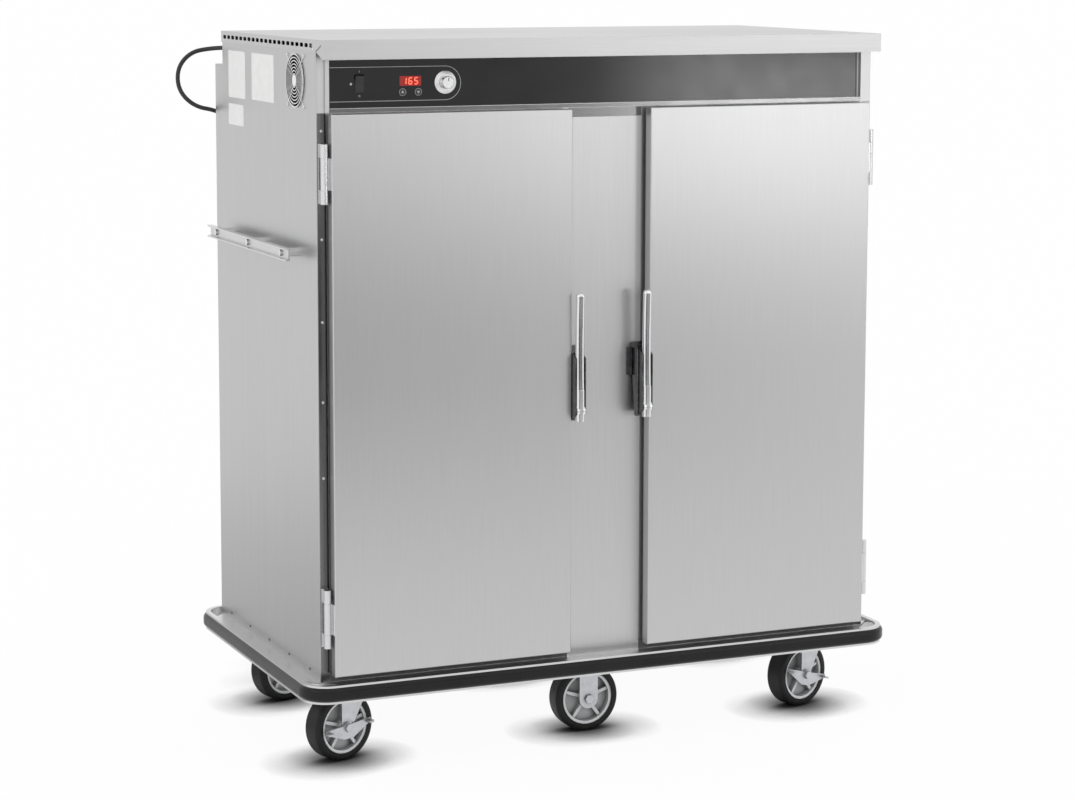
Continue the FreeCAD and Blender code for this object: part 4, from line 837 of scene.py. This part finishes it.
# Painted shade: the stile strips are dark where the doors' shadow falls beside the hinges, and the sill strip
# darkens the gap below the doors.
for side, sign in (("left", 1), ("right", -1)):
    edges = sorted((sign * (body_left + edge_inset), sign * (door_low.x - clearance)))
    strip_on_front("stile_strip_" + side, *edges, strip_low, strip_top, body_front, **polished)
    bay = sorted((sign * (body_left + stile_width), sign * (door_high.x - door_lap)))
    bay_sill = door_low.z + door_lap
    strip_on_front("bay_strip_" + side, *bay, bay_sill, deck_top + bay_floor, body_front + frame_depth)
strip_on_front("sill_strip", door_low.x, -door_low.x, strip_low, door_low.z + sill_rise, body_front)
rise = (strip_top + trim_gap, panel_low.z - trim_gap)
strip_on_front("panel_strip", panel_low.x, panel_high.x, *rise, face_y - panel_stand, **polished)
cover_half = -door_high.x - cover_margin
rise = (door_high.z - cover_drop, strip_top)
# Painted shadow line: a dark strip across the top of the mullion cover.
strip_on_front("mullion_strip", -cover_half, cover_half, *rise, body_front, **polished)
edges = [panel_high.x - inset for inset in end_strip]
strip_on_front("panel_end_strip", *edges, panel_low.z, panel_high.z, face_y)
edges = [panel_high.x - inset for inset in end_line]
rise = (panel_low.z + trim_gap, panel_high.z - trim_gap)
strip_on_front("panel_end_line", *edges, *rise, face_y - line_stand, finish=ink, slot="fascia_black")
print("strips laid from", round(strip_low, 3), "to", round(door_high.z, 3))

# %% [markdown]
# ## Floor and light
# The floor is lit from below, like a product photographer's glowing table, and its glow is dimmed where wheels
# and lead
# come close to it: a painted contact shadow. It is one large square, moved aside so that the seam between its
# two triangles lies far from the cabinet. The studio is white all round: the world has one white at a strength
# of one, to the camera, in reflections and as light, so colours keep their tone. Soft lamps stand at the right
# front and at the left.

# %% Floor
floor_half, floor_aside, floor_drop = 600, 150, 0.0005
floor_glow, contact_shadow_reach, contact_shadow_power = 0.94, 0.12, 4.5
floor_finish, floor_shader = new_finish("studio_floor", (0.92, 0.92, 0.92), 0.9)
tree = floor_finish.node_tree
white = tree.nodes.new("ShaderNodeEmission")
# Painted contact shadow: the floor's glow falls off with ambient occlusion near wheels and lead, raised to a
# power.
contact_shadow = tree.nodes.new("ShaderNodeAmbientOcclusion")
contact_shadow.inputs["Distance"].default_value = contact_shadow_reach
shadow_deepen = tree.nodes.new("ShaderNodeMath")
shadow_deepen.operation = "POWER"
shadow_deepen.inputs[1].default_value = contact_shadow_power
tree.links.new(contact_shadow.outputs["AO"], shadow_deepen.inputs[0])
tree.links.new(shadow_deepen.outputs["Value"], white.inputs["Strength"])
path = tree.nodes.new("ShaderNodeLightPath")
share = tree.nodes.new("ShaderNodeMath")
share.operation = "MULTIPLY"
share.inputs[1].default_value = floor_glow
either = tree.nodes.new("ShaderNodeMath")
either.operation = "MAXIMUM"
mix = tree.nodes.new("ShaderNodeMixShader")
output = tree.nodes["Material Output"]
tree.links.new(path.outputs["Is Camera Ray"], either.inputs[0])
tree.links.new(path.outputs["Is Glossy Ray"], either.inputs[1])
tree.links.new(either.outputs["Value"], share.inputs[0])
tree.links.new(share.outputs["Value"], mix.inputs["Fac"])
tree.links.new(floor_shader.outputs["BSDF"], mix.inputs[1])
tree.links.new(white.outputs["Emission"], mix.inputs[2])
tree.links.new(mix.outputs["Shader"], output.inputs["Surface"])
builder = bmesh.new()
bmesh.ops.create_grid(builder, x_segments=1, y_segments=1, size=floor_half)
floor_mesh = bpy.data.meshes.new("studio_floor")
builder.to_mesh(floor_mesh)
builder.free()
floor_mesh.materials.append(floor_finish)
floor = bpy.data.objects.new("studio_floor", floor_mesh)
floor.location = (floor_aside, 0, -floor_drop)
scene.collection.objects.link(floor)
print("floor laid")

# %% World
world = bpy.data.worlds.new("studio_world")
scene.world = world
world.use_nodes = True
backdrop = world.node_tree.nodes["Background"]
backdrop.inputs["Color"].default_value = (1, 1, 1, 1)
backdrop.inputs["Strength"].default_value = 1.0
print("world is white")


# %% Lamps
def soft_lamp(name, place, target, wide, tall, power):
    data = bpy.data.lights.new(name, "AREA")
    data.shape = "RECTANGLE"
    data.size = wide
    data.size_y = tall
    data.energy = power
    lamp = bpy.data.objects.new(name, data)
    lamp.location = place
    lamp.rotation_euler = (Vector(target) - Vector(place)).to_track_quat("-Z", "Y").to_euler()
    scene.collection.objects.link(lamp)


soft_lamp("key_lamp", (3.6, -5.3, 2.6), (0, 0, 1.2), 2.4, 2.4, 5)
soft_lamp("panel_lamp", (3.1, -5.3, 1.16), (0.4, 0, 1.45), 1.1, 0.4, 12.5)
soft_lamp("fill_lamp", (-4.8, -1.6, 2.6), (0, 0, 0.8), 2.6, 2.6, 20)
print("lamps lit")

# %% [markdown]
# ## Grey cards
# A photographer gives flat steel its shading with dark cards that only the metal sees. One stands low at the
# right front, so that the middle of the doors mirrors it and turns darker than top and bottom. One lies at
# the left, and the side panel mirrors it in its lower part. A small one shades the right end of the visor.


# %% Grey cards
def grey_card(name, stand, axis, reach, tones):
    """Card seen only in reflections; its tone changes along one axis, over a reach in metres."""
    material = bpy.data.materials.new(name)
    material.use_nodes = True
    tree = material.node_tree
    tree.nodes.remove(tree.nodes["Principled BSDF"])
    tone = tree.nodes.new("ShaderNodeEmission")
    coordinate = tree.nodes.new("ShaderNodeTexCoord")
    split = tree.nodes.new("ShaderNodeSeparateXYZ")
    fade = tree.nodes.new("ShaderNodeMapRange")
    fade.inputs["From Min"].default_value, fade.inputs["From Max"].default_value = reach
    fade.inputs["To Min"].default_value, fade.inputs["To Max"].default_value = tones
    tree.links.new(coordinate.outputs["Object"], split.inputs["Vector"])
    tree.links.new(split.outputs[axis], fade.inputs["Value"])
    tree.links.new(fade.outputs["Result"], tone.inputs["Strength"])
    tree.links.new(tone.outputs["Emission"], tree.nodes["Material Output"].inputs["Surface"])
    builder = bmesh.new()
    bmesh.ops.create_grid(builder, x_segments=1, y_segments=1, size=1.0)
    bmesh.ops.transform(builder, matrix=stand, verts=builder.verts)
    mesh = bpy.data.meshes.new(name)
    builder.to_mesh(mesh)
    builder.free()
    mesh.materials.append(material)
    card = bpy.data.objects.new(name, mesh)
    scene.collection.objects.link(card)
    card.visible_camera = False
    card.visible_diffuse = False
    card.visible_shadow = False
    card.visible_transmission = False


door_stand = Matrix.Translation((0.8, -4.0, 0.40)) @ upright @ Matrix.Diagonal((2.4, 0.36, 1, 1))
grey_card("door_card", door_stand, "X", (1.3, 3.0), (0.05, 0.45))
side_stand = Matrix.Translation((-1.7, 1.3, 0.002)) @ Matrix.Diagonal((1.0, 1.3, 1, 1))
grey_card("side_card", side_stand, "Y", (0.4, 2.6), (0.60, 0.85))
visor_stand = Matrix.Translation((2.8, -4.0, 1.70)) @ upright @ Matrix.Diagonal((0.6, 0.34, 1, 1))
grey_card("visor_card", visor_stand, "X", (2.2, 3.2), (0.6, 0.2))
print("three cards stand")
